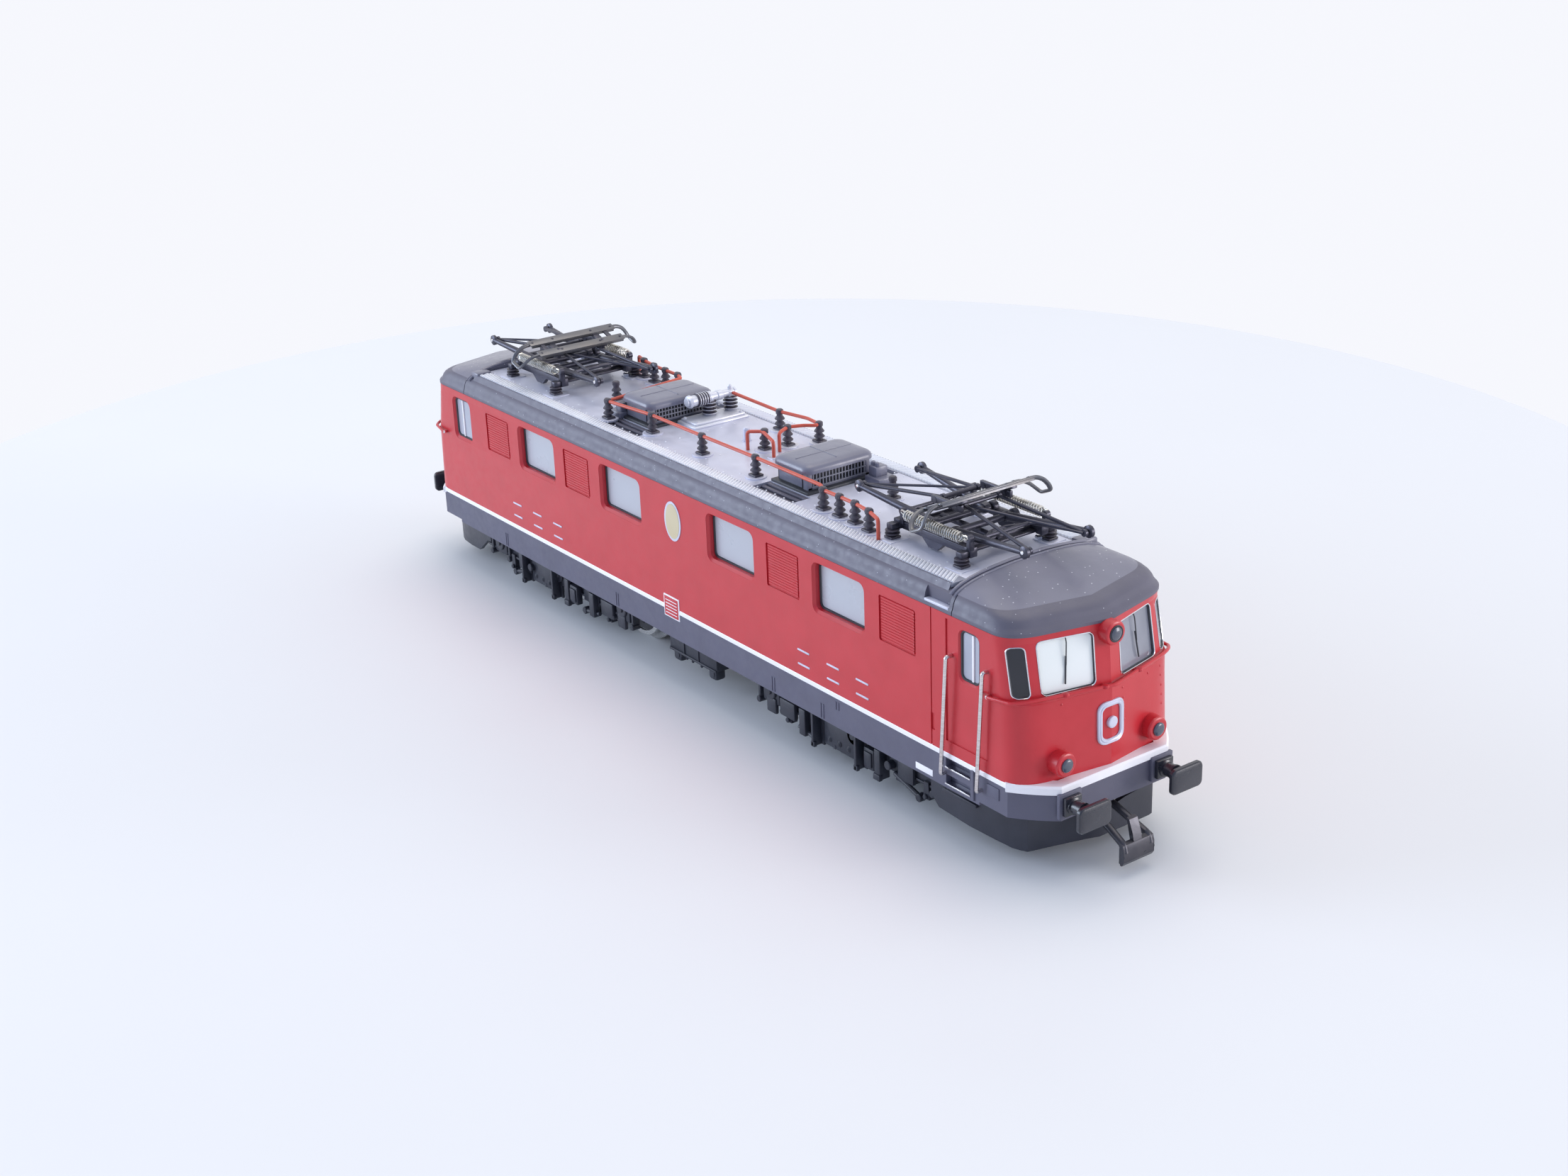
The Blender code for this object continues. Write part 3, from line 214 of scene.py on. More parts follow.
class Shape:
    """Closed solids gathered in one mesh, each with the number of its material."""

    def __init__(self):
        self.mesh = bmesh.new()

    def take(self, other, matrix=None, material=None):
        """Copy another mesh in, placed by a matrix."""
        data = bpy.data.meshes.new("part")
        other.to_mesh(data)
        if matrix:
            data.transform(matrix)
        before = len(self.mesh.faces)
        self.mesh.from_mesh(data)
        bpy.data.meshes.remove(data)
        self.mesh.faces.ensure_lookup_table()
        if material is not None:
            for face in self.mesh.faces[before:]:
                face.material_index = material

    def absorb(self, other):
        """Move another shape's solids into this one."""
        self.take(other.mesh)
        other.mesh.free()

    def at_both_ends(self):
        """Add a copy of everything so far, turned half round."""
        copy = self.mesh.copy()
        self.take(copy, HALF_TURN)
        copy.free()

    def move_to(self, end):
        """Turn half round, for the rear end, what is drawn for the front."""
        if end < 0:
            self.mesh.transform(HALF_TURN)

    def slide(self, x):
        """Move everything so far along the locomotive."""
        self.mesh.transform(Matrix.Translation((x, 0, 0)))

    def box(self, low, high, bevel=0.12, material=0):
        """A block between opposite corners, with rounded edges."""
        low, high = (Vector(corner) for corner in zip(*(sorted(pair) for pair in zip(low, high))))
        size = high - low
        part = bmesh.new()
        bmesh.ops.create_cube(part, size=1.0,
                              matrix=Matrix.Translation((low + high) / 2) @ Matrix.Diagonal((*size, 1.0)))
        width = min(bevel, 0.45 * min(size))
        if width > 0.01:
            bmesh.ops.bevel(part, geom=part.edges[:], offset=width, segments=2, affect="EDGES", profile=0.5)
        self.take(part, None, material)
        part.free()

    def loft(self, rings, material=0, closed=False, matrix=None, shift=0):
        """A skin through rings of equal length; closed joins the last to the first, shift points on."""
        part = bmesh.new()
        layers = [[part.verts.new(point) for point in ring] for ring in rings]
        count = len(rings[0])
        pairs = list(zip(layers, layers[1:]))
        if closed:
            pairs.append((layers[-1], layers[0][shift:] + layers[0][:shift]))
        for lower, upper in pairs:
            for i in range(count):
                j = (i + 1) % count
                part.faces.new((lower[i], lower[j], upper[j], upper[i]))
        if not closed:
            part.faces.new(layers[0])
            part.faces.new(layers[-1])
        bmesh.ops.recalc_face_normals(part, faces=part.faces)
        self.take(part, matrix, material)
        part.free()

    def turned(self, profile, centre, axis="Z", sides=24, material=0):
        """A turned solid from (radius, height) pairs, with its axis along X, Y, Z or a vector."""
        if isinstance(axis, str):
            axis = {"X": (1, 0, 0), "Y": (0, 1, 0), "Z": (0, 0, 1)}[axis]
        turn = Vector(axis).to_track_quat("Z", "Y").to_matrix().to_4x4()
        part = bmesh.new()
        layers = []
        for radius, height in profile:
            places = [(radius * c, radius * s) for c, s in circle(sides)] if radius else [(0, 0)]
            layers.append([part.verts.new((x, y, height)) for x, y in places])
        for lower, upper in zip(layers, layers[1:]):
            for i in range(sides):
                j = (i + 1) % sides
                corners = [lower[i % len(lower)], lower[j % len(lower)],
                           upper[j % len(upper)], upper[i % len(upper)]]
                part.faces.new(list(dict.fromkeys(corners)))
        bmesh.ops.recalc_face_normals(part, faces=part.faces)
        self.take(part, Matrix.Translation(Vector(centre)) @ turn, material)
        part.free()

    def rod(self, start, end, radius, sides, end_radius=None, edge=0.08):
        """A round bar with softened ends."""
        start, end = Vector(start), Vector(end)
        length = (end - start).length
        last = radius if end_radius is None else end_radius
        soft = min(edge, 0.4 * radius, 0.4 * last, 0.3 * length)
        profile = [(0, 0), (radius - soft, 0), (radius, soft), (last, length - soft), (last - soft, length),
                   (0, length)]
        self.turned(profile, start, end - start, sides)

    def tube(self, points, radius, sides=10, material=0, closed=False, flat=1.0):
        """A round or flattened wire along points."""
        points = [Vector(point) for point in points]
        rings = []
        across = None
        for i, point in enumerate(points):
            before = points[i - 1] if i or closed else point
            after = points[(i + 1) % len(points)] if i < len(points) - 1 or closed else point
            along = (after - before).normalized()
            if across is None:
                across = along.orthogonal().normalized()
            across = (across - along * across.dot(along)).normalized()
            side = along.cross(across)
            rings.append([point + radius * (across * c + side * flat * s) for c, s in circle(sides)])
        shift = 0
        if closed:
            shift = min(range(sides), key=lambda step: (rings[-1][0] - rings[0][step]).length)
        self.loft(rings, material, closed, None, shift)

    def wire(self, points, radius, bend=0.5, sides=10, material=0, flat=1.0):
        """A tube with its corners rounded."""
        self.tube(rounded(points, bend), radius, sides, material, flat=flat)


def beside(point, distance):
    """The place at a distance across the locomotive from a point."""
    return point + Vector((0, distance, 0))


def rounded(points, bend, steps=4):
    """The polyline with each corner replaced by a small arc."""
    points = [Vector(point) for point in points]
    route = [points[0]]
    for before, corner, after in zip(points, points[1:], points[2:]):
        to_before, to_after = before - corner, after - corner
        reach = min(bend, 0.45 * to_before.length, 0.45 * to_after.length)
        start = corner + to_before.normalized() * reach
        end = corner + to_after.normalized() * reach
        for step in range(steps + 1):
            t = step / steps
            route.append((1 - t) ** 2 * start + 2 * t * (1 - t) * corner + t * t * end)
    route.append(points[-1])
    return route


def round_rect(low_u, high_u, low_v, high_v, radius, steps=5):
    """A rectangle with round corners, as (u, v) points, anticlockwise."""
    points = []
    corners = ((high_u - radius, low_v + radius, -90), (high_u - radius, high_v - radius, 0),
               (low_u + radius, high_v - radius, 90), (low_u + radius, low_v + radius, 180))
    for u, v, start in corners:
        for step in range(steps + 1):
            angle = math.radians(start + 90 * step / steps)
            points.append((u + radius * math.cos(angle), v + radius * math.sin(angle)))
    return points


def as_object(name, shape, scale=1.0, materials=()):
    """Make a Blender object from a shape, and use the shape up."""
    mesh = bpy.data.meshes.new(name)
    shape.mesh.to_mesh(mesh)
    shape.mesh.free()
    mesh.transform(Matrix.Scale(scale, 4))
    for material in materials:
        mesh.materials.append(material)
    made = bpy.data.objects.new(name, mesh)
    bpy.context.scene.collection.objects.link(made)
    return made


def piece(name, shape, materials, replaces=(), body="body", sharp=30):
    """A smooth piece of the visual model that rides on its body."""
    made = as_object(name, shape, MM, materials)
    made.data.shade_smooth()
    made.data.set_sharp_from_angle(angle=math.radians(sharp))
    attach(made, body)
    if replaces:
        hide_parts(*replaces)


def carve(shape, cutters):
    """Subtract each cutter shape in turn."""
    target, *tools = [as_object("solid", part) for part in (shape, *cutters)]
    for tool in tools:
        modifier = target.modifiers.new("carve", "BOOLEAN")
        modifier.operation = "DIFFERENCE"
        modifier.object = tool
    bpy.context.view_layer.update()
    result = bpy.data.meshes.new_from_object(target.evaluated_get(bpy.context.evaluated_depsgraph_get()))
    carved = Shape()
    carved.mesh.from_mesh(result)
    for leftover in (target, *tools):
        bpy.data.objects.remove(leftover, do_unlink=True)
    for face in carved.mesh.faces:
        face.material_index = 0
    return carved


# ================================================================ camera, light and floor

CAMERA_PLACE = (0.3189, -0.2195, 0.1745)
CAMERA_RIGHT = Vector((0.5916, 0.8054, -0.0351))
VIEW_AZIMUTH = math.radians(54.53)
VIEW_ELEVATION = math.radians(22.25)
FOCAL_LENGTH = 49.7
TABLE_CENTRE = Vector((-53.5, 31.9))
TABLE_RADIUS = 218.6
TABLE_REACH = Vector((324.0, -232.0))   # how far the near half is moved out, past the camera's view
LIGHTS = (  # name, place, size, power, colour and share of its highlights
    ("key", (-0.10, 0.20, 1.0), 0.7, 2.95, (1.0, 0.92, 0.78), 1.0),
    ("end", (0.82, 0.66, 0.16), 0.40, 4.5, (1.0, 0.96, 0.98), 1.0),
    ("side", (-0.75, -0.80, 0.30), 0.6, 8.0, (0.72, 0.83, 1.0), 0.05))
LIGHT_AIM = Vector((0, 0, 0.03))


def set_stage():
    """A round pale table in a pale studio, with the camera where the photographer stood."""
    camera = bpy.data.objects.new("camera", bpy.data.cameras.new("camera"))
    bpy.context.scene.collection.objects.link(camera)
    level = math.cos(VIEW_ELEVATION)
    forward = Vector((-math.sin(VIEW_AZIMUTH) * level, math.cos(VIEW_AZIMUTH) * level,
                      -math.sin(VIEW_ELEVATION)))
    right = (CAMERA_RIGHT - forward * CAMERA_RIGHT.dot(forward)).normalized()
    turn = Matrix((right, right.cross(forward), -forward)).transposed().to_4x4()
    camera.matrix_world = Matrix.Translation(CAMERA_PLACE) @ turn
    camera.data.lens = FOCAL_LENGTH
    camera.data.sensor_width = 36.0
    camera.data.clip_start = 0.01
    camera.data.clip_end = 20
    bpy.context.scene.camera = camera

    table = Shape()
    rim = []
    for ray in map(Vector, circle(256)):
        rim.append((ray, TABLE_CENTRE + TABLE_REACH if ray.dot(TABLE_REACH) > 0 else TABLE_CENTRE))
    table.loft([[(*(middle + (TABLE_RADIUS + grow) * ray), z) for ray, middle in rim]
                for grow, z in ((0.7, -5), (0.7, -0.7), (0, 0))])
    paint = surface("table_white", (0.755, 0.765, 0.780), (0.77, 0.78, 0.795), 0.55, mottle=6, bump=0.0)
    floor = as_object("table", table, MM, [paint])

    bpy.context.scene.view_settings.view_transform = "Standard"
    world = bpy.data.worlds.new("studio")
    bpy.context.scene.world = world
    world.use_nodes = True
    tree = world.node_tree
    direction = tree.nodes.new("ShaderNodeTexCoord")
    facing = tree.nodes.new("ShaderNodeVectorMath")
    facing.operation = "DOT_PRODUCT"
    facing.inputs[1].default_value = (0.62, -0.76, 0.2)
    tree.links.new(direction.outputs["Generated"], facing.inputs[0])
    dim = spread(tree, facing.outputs["Value"], 0.0, 1.0, -0.3, 1.0)
    tree.links.new(blend_colours(tree, dim, (0.925, 0.935, 0.985), (0.42, 0.52, 0.74)),
                   tree.nodes["Background"].inputs["Color"])

    for name, place, size, power, colour, highlights in LIGHTS:
        light = bpy.data.objects.new(name, bpy.data.lights.new(name, "AREA"))
        bpy.context.scene.collection.objects.link(light)
        light.data.energy = power
        light.data.size = size
        light.data.color = colour
        light.data.specular_factor = highlights
        light.location = place
        light.rotation_euler = (LIGHT_AIM - Vector(place)).to_track_quat("-Z", "Y").to_euler()


# ================================================================ body outline

NOSE = (  # height, where the corner starts, corner x and y, ridge x
    (DECK - 0.3, 91.5, 97.0, 10.5, 98.5), (22.0, 91.3, 96.7, 10.7, 98.45), (27.0, 91.1, 96.4, 10.9, 98.35),
    (29.7, 91.0, 96.3, 11.0, 98.3), (30.1, 91.0, 96.2, 11.1, 98.28), (30.5, 91.0, 95.7, 11.4, 98.1),
    (31.2, 91.0, 95.6, 11.5, 98.05), (35.4, 90.2, 94.8, 11.5, 97.7), (39.6, 89.5, 94.1, 11.5, 97.35),
    (40.85, 88.9, 94.2, 12.0, 97.2))


def row_at(rows, height):
    """The row at any height, between the rows given."""
    for low, high in zip(rows, rows[1:]):
        if height <= high[0]:
            break
    t = (height - low[0]) / (high[0] - low[0])
    return tuple(a + t * (b - a) for a, b in zip(low, high))


def corner_arc(row, width=HALF_WIDTH, roundness=1.0, inset=0.0, steps=12):
    """From the straight side round the corner to where the blunt V begins, for positive y."""
    _, side_end, corner_x, corner_y, ridge_x = row
    width, ridge_x = width - inset, ridge_x - inset
    corner_x, corner_y = corner_x - inset, corner_y - 0.6 * inset
    control_x = corner_x - (width - corner_y) / corner_y * (ridge_x - corner_x)
    arc = []
    for step in range(steps + 1):
        t = step / steps
        bend_x = (1 - t) ** 2 * side_end + 2 * t * (1 - t) * control_x + t * t * corner_x
        bend_y = (1 - t * t) * width + t * t * corner_y
        chord_x = (1 - t) * side_end + t * corner_x
        chord_y = (1 - t) * width + t * corner_y
        arc.append((chord_x + roundness * (bend_x - chord_x), chord_y + roundness * (bend_y - chord_y)))
    return arc


def mirrored(arc, ridge_x):
    """From one side to the other, through the ridge in the middle."""
    return [(x, -y) for x, y in arc] + [(ridge_x, 0.0)] + list(reversed(arc))


def outline(row, width=HALF_WIDTH, roundness=1.0, inset=0.0):
    """The whole horizontal slice of the body."""
    front = mirrored(corner_arc(row, width, roundness, inset), row[4] - inset)
    return [(x, y, row[0]) for x, y in front] + [(-x, -y, row[0]) for x, y in front]


def beam_row(height):
    return height, 93.0, BEAM_FRONT, 11.5, BEAM_FRONT


def beam_ring(height, grow=0.0, inset=0.0):
    """A slice of the skirt and buffer beams, with nearly flat corners."""
    return outline(beam_row(height), HALF_WIDTH + grow, roundness=BEAM_ROUNDNESS, inset=inset)


def nose_x(y, z):
    """How far forward the front skin lies at a place across and up."""
    row = row_at(NOSE, z)
    y = abs(y)
    if y <= row[3]:
        return row[4] - (row[4] - row[2]) * y / row[3]
    arc = corner_arc(row)
    for (x0, y0), (x1, y1) in zip(arc, arc[1:]):
        if y1 <= y <= y0:
            return x0 + (x1 - x0) * (y0 - y) / max(1e-6, y0 - y1)
    return row[1]


def on_nose(y, z, out=0.0):
    """A point on the front skin, moved out along its normal."""
    step = 0.15
    point = Vector((nose_x(y, z), y, z))
    across = Vector((nose_x(y + step, z) - nose_x(y - step, z), 2 * step, 0))
    upward = Vector((nose_x(y, z + step) - nose_x(y, z - step), 0, 2 * step))
    return point + across.cross(upward).normalized() * out


def all_on_nose(points, out):
    """Lay (y, z) points on the front skin."""
    return [on_nose(y, z, out) for y, z in points]


# ================================================================ body

WINDOWS = ((11.5, 25.4), (43.4, 57.0))
WINDOW_Z = (30.5, 39.1)
LOUVRES = ((29.7, 39.2), (61.3, 70.7))
LOUVRE_Z = (30.8, 38.9)
DOOR = (78.2, 88.2, 18.7, 40.1)
DOOR_WINDOW = (81.3, 85.9)
CAB_WINDOW = (78.0, 84.9)
STEPS_X = (78.1, 84.1)


def at_all_corners(spans):
    """(low x, high x, side) of spans that both sides have at both ends."""
    return [(*sorted((end * low, end * high)), side)
            for low, high in spans for side in (1, -1) for end in (1, -1)]


def side_windows():
    """(low x, high x, side) of every opening in the long sides."""
    spans = at_all_corners(WINDOWS)
    for (low, high), side in ((DOOR_WINDOW, -1), (CAB_WINDOW, 1)):
        spans += [(low, high, side), (-high, -low, -side)]
    return spans


def in_side(points, side, depth):
    """Place (x, z) points on a long side, at a depth under its surface."""
    return [(x, side * (HALF_WIDTH - depth), z) for x, z in points]


WINDSCREEN = (2.7, 12.2, 31.0, 39.7)
CORNER_WINDOW = (13.95, 16.4, 31.1, 39.2)
WIPER_ARM = ((7.3, 39.6, -0.1), (7.3, 38.9, 0.12), (7.6, 35.2, 0.0), (7.7, 34.9, -0.1))


def end_windows():
    """(outline in y and z, kind, side) of the front openings."""
    for side in (1, -1):
        for kind, (low, high, bottom, top), radius in (("windscreen", WINDSCREEN, 0.9),
                                                       ("corner", CORNER_WINDOW, 0.8)):
            yield round_rect(*sorted((side * low, side * high)), bottom, top, radius), kind, side


def on_right_side(shape, low_x, high_x, low_z, high_z, out, into=0.1, bevel=0.1, material=0):
    """A block that stands out of the right-hand long side."""
    shape.box((low_x, -HALF_WIDTH - out, low_z), (high_x, -HALF_WIDTH + into, high_z), bevel, material)


def build_body():
    """The red shell with its window and door openings, recessed doors and louvres."""
    walls = Shape()
    walls.loft([outline(row) for row in NOSE])
    hollow = Shape()
    inner_rows = [(DECK - 3, *NOSE[0][1:]), *NOSE[1:-1], (43.0, *NOSE[-1][1:])]
    hollow.loft([outline(row, inset=1.4) for row in inner_rows])
    panels = Shape()
    for end, _ in ENDS:
        face = -end * (HALF_WIDTH - 0.22)
        panels.box((end * DOOR[0], face, DOOR[2]), (end * DOOR[1], face - 2 * end, DOOR[3]), 0)
    for low, high, side in at_all_corners(LOUVRES):
        frame_line = round_rect(low, high, *LOUVRE_Z, 0.35, 2)
        panels.loft([in_side(frame_line, side, depth) for depth in (-1.0, 0.28)])
    openings = Shape()
    for low, high, side in side_windows():
        wide = round_rect(low - 0.42, high + 0.42, WINDOW_Z[0] - 0.5, WINDOW_Z[1] + 0.3, 1.5)
        narrow = round_rect(low, high, *WINDOW_Z, 1.1)
        openings.loft([in_side(wide, side, -1.0), in_side(wide, side, 0.05), in_side(narrow, side, 0.5),
                       in_side(narrow, side, 4.0)])
    for points, _, _ in end_windows():
        rings = [all_on_nose(points, 0.9), all_on_nose(points, -3.2)]
        openings.loft(rings)
        openings.loft(rings, matrix=HALF_TURN)
    seams, slots = Shape(), Shape()
    for end, _ in ENDS:
        side_y = -end * HALF_WIDTH
        for cutter, x, half, bottom, top in ((seams, 74.6, 0.13, DECK - 1, 42.0),
                                             (slots, 74.9, 0.5, 19.4, 22.4)):
            cutter.box((end * x - half, side_y - 0.28, bottom), (end * x + half, side_y + 0.28, top), 0)
    body = carve(walls, [hollow, panels, openings, seams, slots])
    add_louvres(body)
    add_nose_trim(body)
    add_rivets(body)
    piece("body_red", body, [RED], ["body_shell"], sharp=16)


def add_louvres(body):
    """Pressed slats with a row of studs down one end."""
    slats = Shape()
    count = 15
    pitch = (LOUVRE_Z[1] - LOUVRE_Z[0] - 0.5) / count
    for low, high, side in at_all_corners(LOUVRES):
        near, far, stud = low + 0.45, high - 0.5, low + 0.3
        if side < 0:
            near, far, stud = low + 0.5, high - 0.45, high - 0.3
        crest, foot = side * (HALF_WIDTH - 0.06), side * (HALF_WIDTH - 0.2)
        for i in range(count):
            z = LOUVRE_Z[0] + 0.3 + i * pitch
            slats.loft([[(x, foot, z), (x, foot, z + pitch), (x, crest, z + 0.8 * pitch),
                         (x, crest, z + 0.25 * pitch)] for x in (near, far)])
            slats.turned([(0.2, -0.2), (0.17, 0.1), (0, 0.2)], (stud, side * HALF_WIDTH, z + 0.25),
                         (0, side, 0), 6)
    body.absorb(slats)


LAMPS = (  # y, z, radius and front
    (9.99, 19.8, 2.05, 98.9), (-9.99, 19.8, 2.05, 98.9), (0.0, 39.36, 2.05, 98.9))


def add_nose_trim(body):
    """Lamp housings, handrail brackets and the belt that runs round under the windows."""
    trim = Shape()
    for y, z, radius, front in LAMPS:
        back = nose_x(y, z) - 2.5
        length = front - back
        trim.turned([(0, 0), (radius, 0), (radius, length - 0.35), (radius - 0.12, length - 0.1),
                     (radius - 0.35, length), (0, length)], (back, y, z), "X", 40)
    belt_y, steps = 16.6, 60
    trim.tube([on_nose(belt_y - 2 * belt_y * i / steps, 30.25, -0.05) for i in range(steps + 1)], 0.3, 8)
    for y in (-8.6, -1.6, 6.4):
        out = on_nose(y, 30.5, 0.95)
        trim.rod(on_nose(y, 30.6, -0.2), out, 0.42, 10)
        trim.turned([(0, -0.3), (0.5, -0.25), (0.62, 0), (0.5, 0.3), (0, 0.42)], out, "Z", 12)
    trim.at_both_ends()
    body.absorb(trim)


def add_rivets(body):
    """Small domed rivets on the nose."""
    rivets = Shape()
    for y, z in ((13.1, 29.0), (13.3, 27.3), (13.5, 25.5), (13.6, 23.8), (13.6, 22.2), (9.6, 29.0),
                 (2.8, 29.0), (3.0, 27.2), (3.2, 25.2), (3.3, 23.4), (-9.2, 29.2)):
        foot = on_nose(y, z, -0.05)
        rivets.turned([(0.24, -0.1), (0.2, 0.1), (0, 0.2)], foot, on_nose(y, z, 1.0) - foot, 8)
    rivets.at_both_ends()
    body.absorb(rivets)


def build_skirt():
    """Grey skirt and buffer beams, cut out for the steps, with the white edge above them."""
    skirt, hollow, notches = Shape(), Shape(), Shape()
    skirt.loft([beam_ring(z) for z in (SKIRT_BOTTOM, 15.9)])
    hollow.loft([beam_ring(z, inset=1.7) for z in (9.0, 17.5)])
    for end, _ in ENDS:
        notches.box((end * 86.3, -20, 8), (end * 103, 20, BEAM_BOTTOM), 0)
        for bottom, top in ((10.9, 12.6), (13.9, 15.5)):
            notches.box((end * STEPS_X[0], -end * (HALF_WIDTH - 1.25), bottom),
                        (end * STEPS_X[1], -end * (HALF_WIDTH + 1), top), 0)
    skirt = carve(skirt, [hollow, notches])
    details = Shape()
    on_right_side(details, 88.2, 91.1, 12.8, 14.9, 0.18, 0.3)
    for x, bottom, top in ((44.3, 10.4, 13.2), (48.7, 13.5, 15.0), (29.8, 10.4, 13.2), (-22.6, 10.4, 13.2),
                           (-66.5, 10.4, 13.2)):
        for rib_x in (x, x + 0.75):
            on_right_side(details, rib_x, rib_x + 0.3, bottom, top, 0.12, 0.3, 0.06)
    for z in (10.75, 13.75):
        on_right_side(details, STEPS_X[0] - 0.1, STEPS_X[1] + 0.1, z, z + 0.3, 0.22, 1.2, 0.08, 1)
    on_right_side(details, 84.5, 85.2, 10.5, 15.8, 0.3, 0.3)
    on_right_side(details, 70.4, 74.75, 10.7, 11.85, 0.06, 0.2, 0.03, 2)
    details.at_both_ends()
    skirt.absorb(details)
    piece("skirt", skirt, [SKIRT, CHROME, WHITE], ["body_shell"], sharp=25)

    edge, lip = Shape(), Shape()
    foot, grown = 15.7, 0.1
    edge.loft([beam_ring(foot, grown), beam_ring(DECK - 0.2, grown), beam_ring(DECK, -0.05),
               beam_ring(DECK, inset=1.5), beam_ring(foot, inset=1.5)], closed=True)
    arc = corner_arc(beam_row(DECK), HALF_WIDTH + 0.22, roundness=BEAM_ROUNDNESS, inset=-0.22)
    arc = [(x, y) for x, y in arc if x > 92.6]
    path = mirrored(arc, BEAM_FRONT + 0.22)
    lip.loft([[(x, y, 15.35), (x, y, 16.45), (x - 0.25, y * 0.985, 16.75), (x - 2.2, y * 0.9, 16.75),
               (x - 2.2, y * 0.9, 15.35)] for x, y in path])
    lip.at_both_ends()
    edge.absorb(lip)
    piece("white_edge", edge, [WHITE], (), sharp=25)


LOW_LAMP = (  # profile, distance behind the housing's rim and material of each turned part
    (((1.15, 0), (1.15, 0.7), (1.0, 0.85), (0.75, 0.93), (0, 0.95)), 0.5, 5),)
TOP_LAMP = (
    (((1.4, 0), (1.4, 0.2), (1.28, 0.28), (1.15, 0.2), (1.15, 0)), 0.1, 4),
    (((1.15, 0), (1.1, 0.35), (0.85, 0.5), (0.4, 0.6), (0, 0.62)), 0.2, 5))


def build_glazing():
    """Frosted panes and dark gaskets along the sides, and the cab windows with bright rims."""
    sides = Shape()
    low_z, high_z = WINDOW_Z
    for low, high, side in side_windows():
        in_cab = abs(low) > 75
        gasket = round_rect(low + 0.12, high - 0.12, low_z + 0.12, high_z - 0.12, 1.0)
        glass = round_rect(low - 0.1, high + 0.1, low_z - 0.1, high_z + 0.1, 1.1)
        inside = 0.8 if in_cab else 1.55
        sides.tube(in_side(gasket, side, inside - 0.05), 0.24, 6, 1, closed=True)
        sides.loft([in_side(glass, side, inside), in_side(glass, side, 2.4)], 2 if in_cab else 0)
        if in_cab:
            middle = (low + high) / 2 + (0.55 if low > 0 else -0.55)
            sides.box((middle - 0.22, side * (HALF_WIDTH - 0.55), low_z + 0.3),
                      (middle + 0.22, side * (HALF_WIDTH - 1.2), high_z - 0.3), 0.1, 3)
    piece("side_windows", sides, [FROST, GASKET, PANE_DOOR, WHITE],
          ["side_glazing_left", "side_glazing_right"])

    cab = Shape()
    for points, kind, side in end_windows():
        depth = -0.4 if kind == "windscreen" else -0.2
        # One windscreen of each pair gets the pale finish and the other the dark one: painted reflection, not
        # two kinds of glass.
        tint = 2 if kind == "corner" else (1 if side < 0 else 3)
        cab.loft([all_on_nose(points, depth), all_on_nose(points, depth - 0.6)], tint)
        cab.tube(all_on_nose(points, 0.0), 0.11, 8, 0, closed=True)
        cab.tube(all_on_nose(points, -0.28), 0.22, 6, 4, closed=True)
    for side in (1, -1):
        cab.wire([on_nose(side * y, z, out) for y, z, out in WIPER_ARM], 0.10, 0.2, 6, 4)
        cab.tube([on_nose(side * 7.45, 36.6, -0.12), on_nose(side * 7.95, 32.2, -0.12)], 0.13, 6, 4)
    for y, z, _, front in LAMPS:
        for profile, back, material in LOW_LAMP if z < 30 else TOP_LAMP:
            cab.turned(profile, (front - back, y, z), "X", 32, material)
    cab.at_both_ends()
    piece("cab_windows", cab, [CHROME, PANE_PAINTED_REFLECTION_BRIGHT, PANE_BLACK, PANE_PAINTED_REFLECTION_DARK, GASKET, LENS],
          ["cab_glazing_front", "cab_glazing_rear"])


def build_badges():
    """Plain plates and bars where the model carries its markings."""
    trim = Shape()
    for x in (39.9, 48.3, 56.4, -59.9, -51.7, -43.6):
        for z in (18.5, 21.2):
            on_right_side(trim, x - 1.7, x + 1.7, z, z + 0.36, 0.12, bevel=0.08)
    for grow, depth, material in ((0.0, 0.12, 0), (-0.45, 0.16, 1)):
        oval = [((2.7 + grow) * c, 34.4 + (3.9 + grow) * s) for c, s in circle(40)]
        trim.loft([in_side(oval, -1, -depth), in_side(oval, -1, 0.2)], material)
    middle = 24.1
    ring = round_rect(-2.2, 2.2, 21.0, 27.2, 1.3)
    for reach, thick in ((0.0, 0.36), (0.32, 0.3)):
        grown = [(y + math.copysign(reach, y), z + math.copysign(reach, z - middle)) for y, z in ring]
        trim.tube(all_on_nose(grown, 0.12), thick, 8, 0, closed=True)
    trim.turned([(1.0, -0.6), (1.0, 0.3), (0.85, 0.42), (0, 0.45)], (nose_x(0, middle), 0, middle), "X", 20)
    low, high = -4.6, 0.6
    on_right_side(trim, low, high, 14.2, 18.7, 0.16, bevel=0.15, material=3)
    on_right_side(trim, low + 0.25, high - 0.25, 14.45, 18.45, 0.2, material=2)
    for row in range(5):
        z = 0.65 * row
        on_right_side(trim, low + 0.7, high - 0.7, 15.0 + z, 15.18 + z, 0.22, bevel=0.04, material=3)
    trim.at_both_ends()
    piece("plain_plates", trim, [SILVER, PLATE, RED, WHITE], (), sharp=25)


# ================================================================ roof

ROOF = (  # height, half width and ridge of each slice of the grey roof, gutter lip first
    (40.9, 17.05, 97.25), (41.4, 17.05, 97.25), (41.6, 16.98, 97.1), (41.9, 16.85, 96.65),
    (42.3, 16.72, 96.3), (42.8, 16.6, 96.0), (43.3, 16.4, 95.5), (43.75, 16.1, 94.6), (44.15, 15.7, 93.3),
    (44.6, 14.95, 91.4), (45.05, 13.8, 89.2), (45.5, 12.1, 86.7), (45.9, 9.8, 84.2), (46.2, 7.0, 81.8),
    (46.4, 3.6, 79.9))
SHOULDER = 8                    # the slice where the two domes leave the long roof


